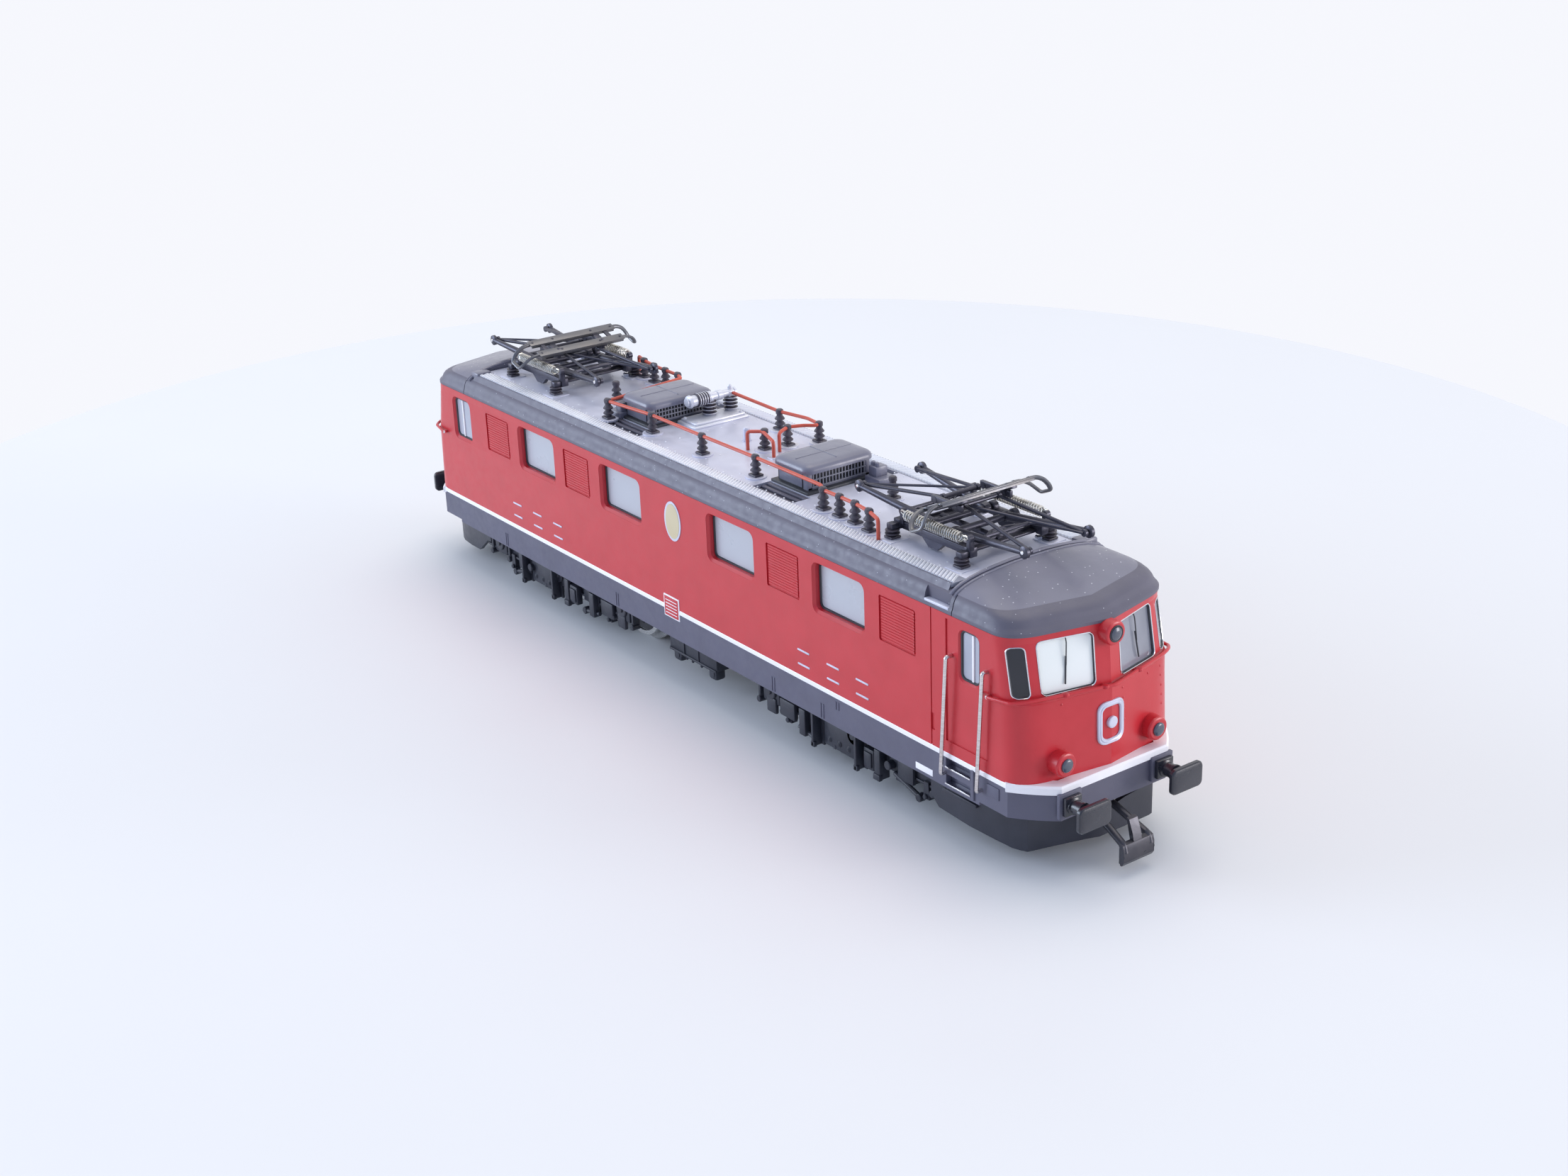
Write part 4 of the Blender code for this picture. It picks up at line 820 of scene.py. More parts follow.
def roof_row(entry):
    """The row that outline() needs for one slice of the roof."""
    height, width, ridge = entry
    corner = ridge - min(2.7, 0.33 * (ridge - 78.5))
    return height, max(ridge - 8.2, 78.55), corner, min(11.5, 0.72 * width), ridge


def dome_ring(entry):
    """A slice of one cab dome, cut straight across at the back."""
    arc = corner_arc(roof_row(entry), entry[1])
    ring = [(DOME_BACK, -entry[1]), *mirrored(arc, entry[2]), (DOME_BACK, entry[1])]
    return [(x, y, entry[0]) for x, y in ring]


def build_roof():
    """The grey roof shell with its gutter, the cab domes with their raised rims, and the silver edges."""
    base, notches, seams = Shape(), Shape(), Shape()
    base.loft([outline(roof_row(entry), entry[1]) for entry in (*ROOF[:SHOULDER + 1], (44.3, 15.4, 92.6))])
    for end, _ in ENDS:
        notches.box((end * 72.8, -end * 16.0, 41.75), (end * 78.9, -end * 18.5, 43.9), 0)
    for side in (1, -1):
        for end, _ in ENDS:
            x, y = end * 79.7, side * 16.9
            seams.box((x - 0.1, y - 1.2, 40), (x + 0.1, y + 1.2, 44.2), 0)
    roof = carve(base, [notches, seams])
    ends = Shape()
    # The domes take the lighter copy of the roof grey: painted light.
    ends.loft([dome_ring(entry) for entry in ROOF[SHOULDER:]], 2)
    for x, lift, radius in ((DOME_BACK + 0.05, 0.12, 0.34), (DOME_BACK + 0.95, 0.02, 0.22)):
        half = [(x, width, height + lift) for height, width, _ in ROOF[SHOULDER - 1:]]
        half += [(x, 1.5, ROOF[-1][0] + lift + 0.02)]
        ends.tube(half + [(x, -y, z) for x, y, z in reversed(half)], radius, 8, 2)
    ends.box((DOME_BACK - 2.4, 11.9, 44.4), (DOME_BACK + 0.4, 15.3, 45.75), 0.3, 2)
    ends.box((72.9, -17.0, 41.3), (78.8, -15.9, 41.95), 0.1, 1)
    ends.loft([[(x, 15.78, 44.0), (x, 15.12, PANEL_TOP + 0.04), (x, 14.8, PANEL_TOP + 0.04), (x, 14.8, 44.0)]
               for x in (-77.4, 77.4)])
    ends.at_both_ends()
    roof.absorb(ends)
    piece("roof_grey_shell", roof, [ROOF_GREY_PAINTED_SHADE, SILVER, DOME_GREY_PAINTED_LIGHT], ["roof_shell"], sharp=28)


INSULATOR_PROFILE = (
    (0, 4.2), (0.55, 4.15), (0.74, 3.95), (0.74, 3.3), (0.6, 3.15), (0.6, 2.8), (1.0, 2.25), (0.96, 2.1),
    (0.58, 2.05), (0.58, 1.75), (1.05, 1.2), (1.0, 1.05), (0.6, 1.0), (0.62, 0.5), (0.7, 0.42), (0, 0.42))
INSULATOR_STRETCH = 0.975
LINE_Z = PANEL_TOP + 0.15
WIRE_Z = LINE_Z + 3.55
LINE_RADIUS = 0.34
MAIN_LINE = ((-32.0, -10.2), (-18.5, -8.7), (-1.4, -8.7), (15.4, -8.5),
             (37.4, -9.9), (42.0, -9.9), (46.4, -10.0), (51.0, -10.6))
FAR_LINE = ((-51.0, 10.6), (-46.4, 10.0), (-42.0, 9.9), (-37.4, 9.9))
RIVET = ((0.19, -0.1), (0.15, 0.06), (0, 0.1))
WALKWAY_Y = 13.55


def insulator(shape, x, y, material=0, disc=1):
    """A moulded insulator with sheds on a flat silver disc; disc is the disc's material."""
    foot = (x, y, LINE_Z)
    sheds = [(radius, height * INSULATOR_STRETCH) for radius, height in INSULATOR_PROFILE]
    shape.turned(sheds, foot, "Z", 16, material)
    shape.box((x - 1.15, y - 1.0, LINE_Z), (x + 1.15, y + 1.0, LINE_Z + 0.5), 0.22, material)
    shape.turned([(2.0, -0.3), (2.0, 0.02), (1.9, 0.1), (0, 0.1)], foot, "Z", 28, disc)


def build_deck():
    """The silver roof deck with its ribbed walkways, rivets, recesses and plain posts."""
    deck, cutters, extras = Shape(), Shape(), Shape()
    deck.box((-77.75, -12.0, 44.5), (77.75, 12.0, PANEL_TOP), 0.08)
    corners = [(end, side) for end in (1, -1) for side in (1, -1)]
    for end, side in corners:
        cutters.box((end * 19.0, side * 7.9, 43), (end * 31.0, side * 11.9, 47), 0)
    deck = carve(deck, [cutters])
    for side in (1, -1):
        y = side * WALKWAY_Y
        # The strip under the teeth is painted shade and the teeth are painted highlight.
        extras.box((-77.5, y - 1.6, 44.5), (77.5, y + 1.6, PANEL_TOP + 0.02), 0.15, 6)
        lean = Matrix.Rotation(math.radians(-32 * side), 4, "Z")
        tooth = [[(-0.27, reach, -0.1), (0.27, reach, -0.1), (0.1, reach, 0.3), (-0.1, reach, 0.3)]
                 for reach in (-1.45, 1.45)]
        for i in range(192):
            place = Matrix.Translation((-76.4 + 0.8 * i, y, PANEL_TOP)) @ lean
            extras.loft(tooth, 1, matrix=place)
        for i in range(58):
            extras.turned(RIVET, (-75.5 + 2.65 * i, side * 11.4, PANEL_TOP), "Z", 6, 1)
    for x in (-69.5, -57.0, -44.3, -35.0, -12.5, 1.0, 12.0, 34.5, 44.5, 56.5, 70.0):
        for i in range(7):
            extras.turned(RIVET, (x, -9.6 + 3.2 * i, PANEL_TOP), "Z", 6, 1)
    for end, side in corners:
        for k in range(3):
            extras.box((end * 19.2, side * (8.1 + 1.3 * k), 44.45),
                       (end * 30.8, side * (8.9 + 1.3 * k), 45.15 - 0.18 * k), 0.12, 2)
    for x, y in ((41.0, 2.6), (-41.0, -2.6), (4.2, 1.6)):
        insulator(extras, x, y, 3, 0)
    extras.turned([(0.95, -0.2), (0.95, 0.15), (0.72, 0.2), (0.68, 2.3), (0.5, 2.55), (0, 2.6)],
                  (-2.8, 2.4, PANEL_TOP), "Z", 10)
    extras.wire([(2.0, -0.8, PANEL_TOP - 0.2), (2.0, -0.8, WIRE_Z - 0.1), (4.2, 1.2, WIRE_Z),
                 (9.2, 0.0, WIRE_Z - 0.5), (9.2, 0.0, PANEL_TOP - 0.2)], LINE_RADIUS, 0.7, 10, 4)
    extras.box((8.3, -0.9, PANEL_TOP - 0.1), (10.1, 0.9, PANEL_TOP + 0.2), 0.08)
    feet = [(pantograph[1] + x, y) for pantograph in PANTOGRAPHS for x in (-8.8, 8.8) for y in (-9.5, 9.5)]
    for x, y in feet:
        extras.box((x - 2.0, y - 2.0, 45.1), (x + 2.0, y + 2.0, 45.34), 0.1)
        extras.turned([(0.75, 0), (0.75, 0.5), (0.45, 0.72), (0, 0.75)],
                      (x - 1.3, y + math.copysign(1.1, -y), 45.3), "Z", 6, 5)
    deck.absorb(extras)
    piece("roof_deck", deck, [SILVER, TEETH_PAINTED_HIGHLIGHT, ROOF_GREY_PAINTED_SHADE, INSULATOR, WIRE, CHROME, VALLEY], ["roof_panel"])


def build_roof_line():
    """The orange line along the roof, from one pantograph to the other, on its insulators."""
    line = Shape()
    (first_x, first_y), (last_x, last_y) = FAR_LINE[0], FAR_LINE[-1]
    rear_x, rear_y = first_x - 3.8, first_y + 1.1
    crossing = (*FAR_LINE, (last_x + 2.4, last_y - 0.8), *MAIN_LINE[:4], (35.2, -8.7), *MAIN_LINE[4:])
    line.wire([(rear_x, rear_y, LINE_Z - 0.1), (rear_x, rear_y, WIRE_Z - 0.1)]
              + [(x, y, WIRE_Z) for x, y in crossing]
              + [(54.8, -11.7, WIRE_Z - 0.1), (54.8, -11.7, LINE_Z - 0.1)], LINE_RADIUS, 0.6, 10, 2)
    for x, y in FAR_LINE + MAIN_LINE:
        insulator(line, x, y)
        line.turned([(0, -0.6), (0.6, -0.55), (0.66, 0), (0.6, 0.55), (0, 0.6)], (x, y, WIRE_Z), "X", 10)
    piece("roof_line", line, [INSULATOR, SILVER, WIRE], ["roof_busbar"])


def build_breaker():
    """The silver main circuit breaker and its branch line."""
    unit = Shape()
    unit.box((-20.9, -1.6, LINE_Z - 0.3), (-14.3, 11.2, LINE_Z + 0.35), 0.3)
    unit.box((-20.3, -1.0, LINE_Z + 0.3), (-14.9, 10.7, LINE_Z + 0.85), 0.25)
    for x, y in ((-15.6, -0.4), (-15.6, 10.0), (-19.6, -0.4)):
        unit.turned([(0.35, 0), (0.3, 0.25), (0, 0.3)], (x, y, LINE_Z + 0.8), "Z", 8)
    post_x, base_z, high = -18.4, LINE_Z + 0.8, LINE_Z + 4.3
    shed_heights = [0.72 * k for k in range(4)]
    ribs = [(0, 0)]
    for z in shed_heights:
        ribs += [(0.95, 0.25 + z), (1.42, 0.42 + z), (1.42, 0.56 + z), (0.95, 0.72 + z)]
    ribs += [(0.7, 3.1), (0.7, 3.4), (0, 3.4)]
    for y in (4.6, 9.6):
        unit.turned(ribs, (post_x, y, base_z), "Z", 20, 1)
        for z in shed_heights:
            unit.turned([(1.47, 0.44 + z), (1.5, 0.5 + z), (1.47, 0.56 + z)], (post_x, y, base_z), "Z", 20)
        unit.turned([(1.05, 0), (1.2, 0.2), (1.0, 0.4)], (post_x, y, LINE_Z + 0.75), "Z", 20)
    barrel = [(0, -0.8), (0.8, -0.75), (0.8, -0.4), (1.2, -0.3), (1.3, 0.2), (1.1, 0.4), (1.1, 1.4),
              (1.0, 1.6), (1.0, 4.3), (1.2, 4.4), (1.2, 5.0), (0.85, 5.1), (0.85, 6.2), (1.0, 6.4),
              (1.0, 7.4), (0.75, 7.6), (0.75, 10.2), (0.9, 10.3), (0.9, 10.7), (0, 10.75)]
    unit.turned(barrel, (post_x, 0, high), "Y", 20)
    for k in range(5):
        for depth, material in ((1.55, 1), (1.82, 0)):
            unit.turned([(0.9, 0), (1.35, 0.06), (1.35, 0.2), (0.9, 0.26)],
                        (post_x, depth + 0.54 * k, high), "Y", 20, material)
    unit.box((-19.2, 8.8, high - 0.9), (-17.6, 10.4, high + 0.5), 0.25)
    unit.turned([(0.45, 0), (0.45, 0.9), (0.25, 1.2), (0, 1.25)], (post_x, 9.6, high + 0.4), "Z", 10)
    branch = ((-3.6, 10.8), (3.5, 12.2), (7.0, 11.8), (8.2, 10.9), (6.4, 9.0), (5.2, 6.2), (6.6, 3.6))
    unit.wire([(-17.6, 9.8, high)] + [(x, y, WIRE_Z) for x, y in branch]
              + [(6.9, 3.0, WIRE_Z - 0.3), (6.9, 3.0, LINE_Z - 0.1)], LINE_RADIUS, 0.7, 10, 2)
    for x, y in ((-3.6, 10.8), (7.6, 11.8), (5.2, 6.2)):
        insulator(unit, x, y, 1, 0)
    piece("circuit_breaker", unit, [BRIGHT_SILVER, INSULATOR, WIRE], ["main_breaker"])


def build_hoods():
    """The two grey air hoods with their grilles, and the boxes beside them."""
    z = LINE_Z
    for label, shift, rows in (("front", 0.0, 2), ("rear", -50.6, 3)):
        hood = Shape()
        hood.box((18.9, -7.75, z - 0.6), (30.0, 7.75, z + 0.35), 0.15, 1)
        hood.box((20.0, -6.9, z), (28.0, 6.9, z + 4.0), 0.15, 1)
        for low_y, high_y, top in ((-6.95, -5.9, 3.8), (5.9, 6.95, 3.8), (-6.9, 6.9, 0.8)):
            hood.box((27.6, low_y, z + 0.3), (29.0, high_y, z + top), 0.1)
        for y in (-6.98, 6.98):
            hood.box((20.6, y - 0.1, z + 0.6), (27.4, y + 0.1, z + 3.2), 0.08)
        # The grille bars take the lighter grey: painted light against the shadow of the lid.
        for row in range(rows + 1):
            middle = z + 0.8 + 2.6 / rows * row
            hood.box((28.85, -6.0, middle - 0.12), (29.1, 6.0, middle + 0.12), 0.04, 2)
        for k in range(17):
            y = -5.7 + 11.4 * k / 16
            hood.box((28.85, y - 0.12, z + 0.6), (29.05, y + 0.12, z + 3.6), 0.04, 2)
        rings = []
        for grow, height in ((-0.5, 3.35), (0.0, 3.45), (0.0, 3.95), (-0.12, 4.35), (-0.45, 4.72),
                             (-1.0, 4.95), (-1.8, 5.05)):
            edge = round_rect(19.2 - grow, 29.8 + grow, -7.7 - grow, 7.7 + grow, 1.7 + 0.4 * grow)
            rings.append([(x, y, z + height) for x, y in edge])
        hood.loft(rings)
        hood.box((20.6, -0.1, z + 4.98), (28.4, 0.1, z + 5.13), 0.05)
        hood.box((24.4, -6.2, z + 4.98), (24.6, 6.2, z + 5.13), 0.05)
        hood.slide(shift)
        piece(f"air_hood_{label}", hood, [HOOD, GASKET, GRILLE_PAINTED_LIGHT], [f"intake_hood_{label}"])
    gear = Shape()
    gear.box((30.4, 4.6, 45.1), (34.6, 8.6, 46.4), 0.2)
    gear.box((30.8, 5.2, 46.3), (33.0, 7.9, 48.2), 0.25)
    for x in (31.3, 32.4):
        gear.turned([(0.42, 0), (0.42, 0.7), (0.25, 0.85), (0, 0.85)], (x, 6.0, 48.1), "Z", 10)
    gear.at_both_ends()
    piece("roof_equipment", gear, [HOOD], ())


# ================================================================ pantographs

ARM_LENGTH = 18.3
ARM_X = 2.6
ARM_Z = 48.6
HEAD_HORN = ((2.0, 9.4, 0.35), (2.0, 11.2, 0.25), (1.95, 12.6, -0.5), (1.75, 13.5, -1.6), (1.3, 14.0, -2.5))
POST_TOP = 50.1
SPRING_Z = 49.9
SPRING_TURNS = 24
LOW_INSULATOR = ((0, 0.2), (0.6, 0.3), (0.55, 0.62), (1.3, 0.78), (1.28, 0.92), (0.55, 1.05), (0.55, 1.2),
                 (1.25, 1.34), (1.22, 1.48), (0.55, 1.58), (0.55, 2.3), (0, 2.3))


def pin(radius, half, soft=0.04):
    """The profile of a short round pin or washer."""
    return (0, -half), (radius, soft - half), (radius, half - soft), (0, half)


def add_base_side(base, side):
    """Beam, posts, bearings and insulators on one side of a pantograph's base."""
    def bar(x_low, x_high, y_low, y_high, z_low, z_high, bevel=0.12):
        base.box((x_low, side * y_low, z_low), (x_high, side * y_high, z_high), bevel)

    bar(-9.6, 9.6, 7.1, 8.3, 46.9, 48.1, 0.15)
    bar(-9.6, 9.6, 6.95, 8.45, 48.0, 48.3, 0.1)
    bar(-9.75, -8.1, 6.9, 8.5, 46.7, 48.4, 0.2)
    bar(8.1, 9.75, 6.9, 8.5, 46.7, 48.4, 0.2)
    y = side * 7.7
    base.loft([[(-x, y - half, z), (x, y - half, z), (x, y + half, z), (-x, y + half, z)]
               for x, half, z in ((1.1, 0.45, 45.5), (2.8, 0.5, 47.0))])
    for x in (-ARM_X, ARM_X):
        bar(x - 0.95, x + 0.95, 6.6, 7.9, 47.8, 48.9, 0.2)
        bearing = (x, side * 7.25, ARM_Z)
        base.turned([(0, -0.66), (0.8, -0.6), (0.95, -0.4), (0.95, 0.4), (0.8, 0.6), (0, 0.66)], bearing,
                    "Y", 18)
        base.turned([(0.4, 0.6), (0.34, 0.95), (0, 1.0)], bearing, (0, side, 0), 8, 1)
    for x in (-9.2, 8.9) if side > 0 else (-7.8, 9.0):
        bar(x, x + 0.8, 7.6, 8.75, 47.9, POST_TOP, 0.15)
        base.turned(pin(0.62, 0.5, 0.08), (x + 0.4, side * 8.3, POST_TOP), "Y", 14)
    for x in (-8.8, 8.8):
        y = side * 9.5
        base.turned(LOW_INSULATOR, (x, y, LINE_Z), "Z", 20, 2)
        base.box((x - 1.05, y - 1.05, LINE_Z), (x + 1.05, y + 1.05, LINE_Z + 0.42), 0.15, 2)
        bar(x - 0.62, x + 0.62, 8.0, 9.95, 47.0, 47.9, 0.15)
        bar(x - 0.75, x + 0.75, 8.75, 10.2, 46.9, 48.0, 0.2)


def build_pantograph(label, centre, degrees, tilt, lift):
    """Base frame, four-bar arms and contact head, each on its own body, drawn about x = 0."""
    angle = math.radians(degrees)
    knee_z = ARM_Z + ARM_LENGTH * math.sin(angle)
    top_z = 2 * knee_z - ARM_Z
    name = f"pantograph_{label}"

    def place(suffix, shape, materials, node, slot="dark_steel", body="body"):
        shape.slide(centre)
        piece(f"{name}_{suffix}", shape, materials, [f"{name}_{node}"], body)

    base = Shape()
    for side in (1, -1):
        add_base_side(base, side)
    for x in (-7.5, 7.5):
        base.box((x - 0.75, -7.4, 46.9), (x + 0.75, 7.4, 47.35), 0.12)
        base.box((x - 0.75, -7.4, 47.0), (x - 0.5, 7.4, 47.8), 0.08)
    base.rod((-7.4, 0, 47.3), (7.4, 0, 47.3), 0.55, 12)
    place("frame", base, [ARM, CHROME, INSULATOR], "base")

    for arm, side in (("a", 1), ("b", -1)):
        pivot = Vector((side * ARM_X, 0, ARM_Z))
        knee = pivot + Vector((side * ARM_LENGTH * math.cos(angle), 0, knee_z - ARM_Z))
        top = Vector((side * ARM_X, 0, top_z))
        along = (knee - pivot).normalized()
        lower, upper = Shape(), Shape()
        lower.rod(beside(pivot, -6.3), beside(pivot, 6.3), 0.62, 16)
        upper.rod(beside(top, -4.3), beside(top, 4.3), 0.4, 12)
        for y in (1, -1):
            foot, end = beside(pivot, y * 5.5), beside(knee, y * 6.9)
            lower.rod(foot, end, 0.82, 16, 0.52, edge=0.15)
            lower.turned([(0, -0.7), (0.85, -0.6), (0.95, 0), (0.85, 0.6), (0, 0.7)], foot, "Y", 16)
            lower.turned([(0, -0.46), (0.8, -0.42), (1.05, -0.28), (1.05, 0.28), (0.8, 0.42), (0, 0.46)],
                         end, "Y", 20)
            lower.turned([(0.36, 0.4), (0.3, 0.62), (0, 0.66)], end, (0, y, 0), 8, 1)
            brace = pivot + along * 4.2 - Vector((0, 0, 0.15))
            lower.wire([foot + along * 7.2, beside(brace, y * 1.6), brace], 0.24, 0.5, 6)
            upper.rod(beside(knee, y * 5.9), beside(top, y * 3.6), 0.36, 12, 0.3)
            upper.turned(pin(0.62, 0.3), beside(knee, y * 5.9), "Y", 14)
            upper.turned(pin(0.62, 0.3), beside(top, y * 3.7), "Y", 14)
        cross = pivot + along * (0.35 * ARM_LENGTH)
        lower.rod(beside(cross, -5.9), beside(cross, 5.9), 0.35, 10)
        upper.rod(beside(knee, side * 5.6), beside(top, -side * 3.4), 0.24, 8)
        place(f"lower_{arm}_tubes", lower, [ARM, CHROME], f"lower_arm_{arm}", body=f"{name}_lower_{arm}")
        place(f"upper_{arm}_rods", upper, [ARM], f"upper_arm_{arm}", body=f"{name}_upper_{arm}")

    head = Shape()
    x0, z0 = 2.0, top_z + lift
    for x in (x0 - 2.0, x0 + 2.0):
        head.box((x - 0.95, -10.2, z0 + 0.3), (x + 0.95, 10.2, z0 + 0.62), 0.12, 1)
        for edge in (x - 0.82, x + 0.82):
            head.box((edge - 0.13, -9.9, z0 - 0.15), (edge + 0.13, 9.9, z0 + 0.4), 0.06, 1)
        for y in (-9.4, -4.6, 4.6, 9.4):
            head.turned([(0.3, 0), (0.24, 0.14), (0, 0.16)], (x, y, z0 + 0.58), "Z", 8)
    for side in (-1, 1):
        y = side * 5.3
        head.box((x0 - 2.9, y - 0.7, z0 - 0.5), (x0 + 2.9, y + 0.7, z0 + 0.2), 0.15)
        y = side * 7.6
        head.box((x0 - 1.1, y - 0.5, z0 + 0.1), (x0 + 1.1, y + 0.5, z0 + 0.45), 0.12)
        bow = [*HEAD_HORN, *((-x, y, z) for x, y, z in reversed(HEAD_HORN))]
        head.wire([(x0 + x, side * y, z0 + z) for x, y, z in bow], 0.42, 0.8, 10, 1, flat=0.75)
    middle = Matrix.Translation((x0, 0, z0))
    head.mesh.transform(middle @ Matrix.Rotation(math.radians(tilt), 4, "Y") @ middle.inverted())
    for y in (-5.3, 5.3):
        head.box((-3.4, y - 0.35, top_z - 0.5), (4.1, y + 0.35, z0 + 0.1), 0.12)
        for x in (-ARM_X, ARM_X):
            head.turned(pin(0.65, 0.45, 0.05), (x, y, top_z), "Y", 14)
    place("contact_head", head, [ARM, HEAD], "head", body=f"{name}_head")

    for where, side, start, end in (("left", 1, -7.2, 7.7), ("right", -1, -5.8, 7.9)):
        coil = Shape()
        steps = SPRING_TURNS * 10
        points = []
        for i in range(steps + 1):
            swing = 2 * math.pi * SPRING_TURNS * i / steps
            points.append((start + i / steps * (end - start), side * 8.9 + 0.8 * math.cos(swing),
                           SPRING_Z + 0.8 * math.sin(swing)))
        coil.tube(points, 0.18, 6)
        for x, way in ((start, -1), (end, 1)):
            loop = ((0, side * 8.9 + 0.7, 0), (0.35, side * 8.9, 0.5), (1.1, side * 8.9, 0.65),
                    (1.7, side * 8.75, 0.3), (1.1, side * 8.6, -0.15), (0.4, side * 8.7, -0.1))
            coil.wire([(x + way * out, y, SPRING_Z + up) for out, y, up in loop], 0.17, 0.4, 6)
        place(f"coil_{where}", coil, [NICKEL], f"spring_{where}", "spring_brass")


# ================================================================ handrails, buffers, couplers

def build_handrails():
    """The upright rails beside the cab doors, and the red rail round each nose."""
    out, wall = -(HALF_WIDTH + 1.05), -(HALF_WIDTH - 0.1)
    for label, foot, head, low, high in (("outer", 86.8, 88.2, 13.0, 34.3),
                                         ("inner", 78.0, 79.5, 12.8, 34.1)):
        for end, which in ENDS:
            rail = Shape()
            rail.wire([(head, wall, high - 0.1), (head, out, high), (foot, out, low),
                       (foot, wall, low + 0.1)], 0.35, 0.5, 12)
            if label == "outer":
                rail.rod((head - 1.4, wall - 0.1, 30.2), (head - 0.2, out, 30.2), 0.22, 8)
            rail.move_to(end)
            piece(f"cab_rail_{which}_{label}", rail, [RAIL_STEEL], [f"door_handrail_{which}_{label}"])
    x, z = 89.0, 30.4
    for end, which in ENDS:
        rail = Shape()
        path = [(x, HALF_WIDTH + 0.1, z), (x, HALF_WIDTH + 0.85, z)]
        path += [on_nose(16.4 - 32.8 * i / 48, z, 0.9) for i in range(49)]
        path += [(x, -HALF_WIDTH - 0.85, z), (x, -HALF_WIDTH - 0.1, z)]
        rail.wire(path, 0.3, 0.4, 10)
        for side in (1, -1):
            rail.turned([(0, -0.3), (0.32, -0.2), (0.36, 0), (0.3, 0.2), (0, 0.26)],
                        (x, side * (HALF_WIDTH + 0.75), z), (0, side, 0), 12, 1)
        rail.move_to(end)
        piece(f"red_nose_rail_{which}", rail, [RED, CHROME], [f"nose_handrail_{which}"])


def build_buffers():
    """Base plate, sleeve and wide head of each buffer."""
    z = 13.5
    sleeve = [(1.5, 0), (1.5, 0.8), (1.2, 0.95), (1.2, 2.3), (1.36, 2.4), (1.36, 2.8), (0.9, 2.9), (0.9, 4.2),
              (1.2, 4.35), (1.2, 4.6)]
    for end, which in ENDS:
        for side in (1, -1):
            buffer = Shape()
            y = side * 10.05
            buffer.box((99.2, y - 2.35, z - 2.15), (99.95, y + 2.35, z + 2.15), 0.15, 1)
            buffer.box((99.9, y - 1.75, z - 1.6), (100.7, y + 1.75, z + 1.6), 0.15)
            buffer.turned(sleeve, (100.2, y, z), "X", 28)
            rings = []
            for depth, grow in ((-1.05, -0.25), (-0.9, 0.0), (-0.35, 0.0), (-0.12, -0.15), (0.0, -0.55)):
                wide, tall = 3.4 + grow, 2.2 + grow
                edge = round_rect(y - wide, y + wide, z - tall, z + tall, 0.9 + 0.4 * grow)
                rings.append([(105.72 + depth, *point) for point in edge])
            buffer.loft(rings)
            buffer.move_to(end)
            hand = "left" if side == end else "right"
            piece(f"buffer_look_{which}_{hand}", buffer, [BUFFER, SKIRT], [f"buffer_{which}_{hand}"])


def build_couplers():
    """The close coupler at each end: shank, loop and hook."""
    x = 86.5
    plate = ((104.35, 2.0), (104.75, 2.0), (105.2, 2.7), (105.2, 4.6), (104.9, 5.6), (104.2, 5.9),
             (104.2, 5.3))
    finger = ((105.0, 4.9), (104.55, 7.0), (103.7, 9.1), (103.1, 9.3), (103.6, 7.2), (104.1, 4.9))
    shank = round_rect(-2.0, 9.4, -2.2, 2.2, 0.9)
    for end, which in ENDS:
        hook = Shape()
        hook.loft([[(x + px, py, z) for px, py in shank] for z in (8.2, 9.2)])
        for side in (1, -1):
            y = side * 2.75
            hook.wire([(x + 8.6, side * 1.5, 8.7), (x + 10.6, side * 2.0, 8.4), (104.3, y, 5.6),
                       (104.75, y, 4.2)], 0.66, 1.2, 12)
            hook.box((103.9, y - 0.5, 2.1), (104.5, y + 0.5, 5.6), 0.15)
        for outline_xz, half in ((plate, 3.35), (finger, 0.9)):
            hook.loft([[(px, y, pz) for px, pz in outline_xz] for y in (-half, half)])
        for y in (-3.3, 3.3):
            hook.turned([(0, -0.1), (0.42, 0), (0, 0.12)], (104.9, y, 3.7), (0, 1, 0), 10)
        hook.rod((x + 9.2, -2.3, 8.7), (x + 9.2, 2.3, 8.7), 0.5, 12)
        hook.turned([(0, -0.6), (1.7, -0.6), (1.7, 0.6), (0, 0.6)], (x, 0, 8.7), "Z", 24)
        hook.move_to(end)
        name = f"coupler_{which}"
        piece(f"coupler_hook_{which}", hook, [COUPLER], [name], name)


# ================================================================ bogies and wheels

def build_bogies():
    for end, which in ENDS:
        bogie = Shape()
        for x in (-HALF_PITCH, HALF_PITCH):
            bogie.box((x - 1.8, -13.4, 3.3), (x + 1.8, 13.4, 4.2), 0.15)
        bogie.box((34.6, -13.2, 6.9), (38.6, 13.2, 7.9), 0.15)
        bogie.rod((36.5, 0, 7.4), (36.5, 0, 10.2), 0.9, 16)
        for side in (1, -1):
            add_side_frame(bogie, side)
        add_apron(bogie)
        bogie.slide(PIVOT_X)
        bogie.move_to(end)
        piece(f"bogie_sides_{which}", bogie, [BLACK, APRON], [f"bogie_frame_{which}"],
              f"bogie_{which}", sharp=25)


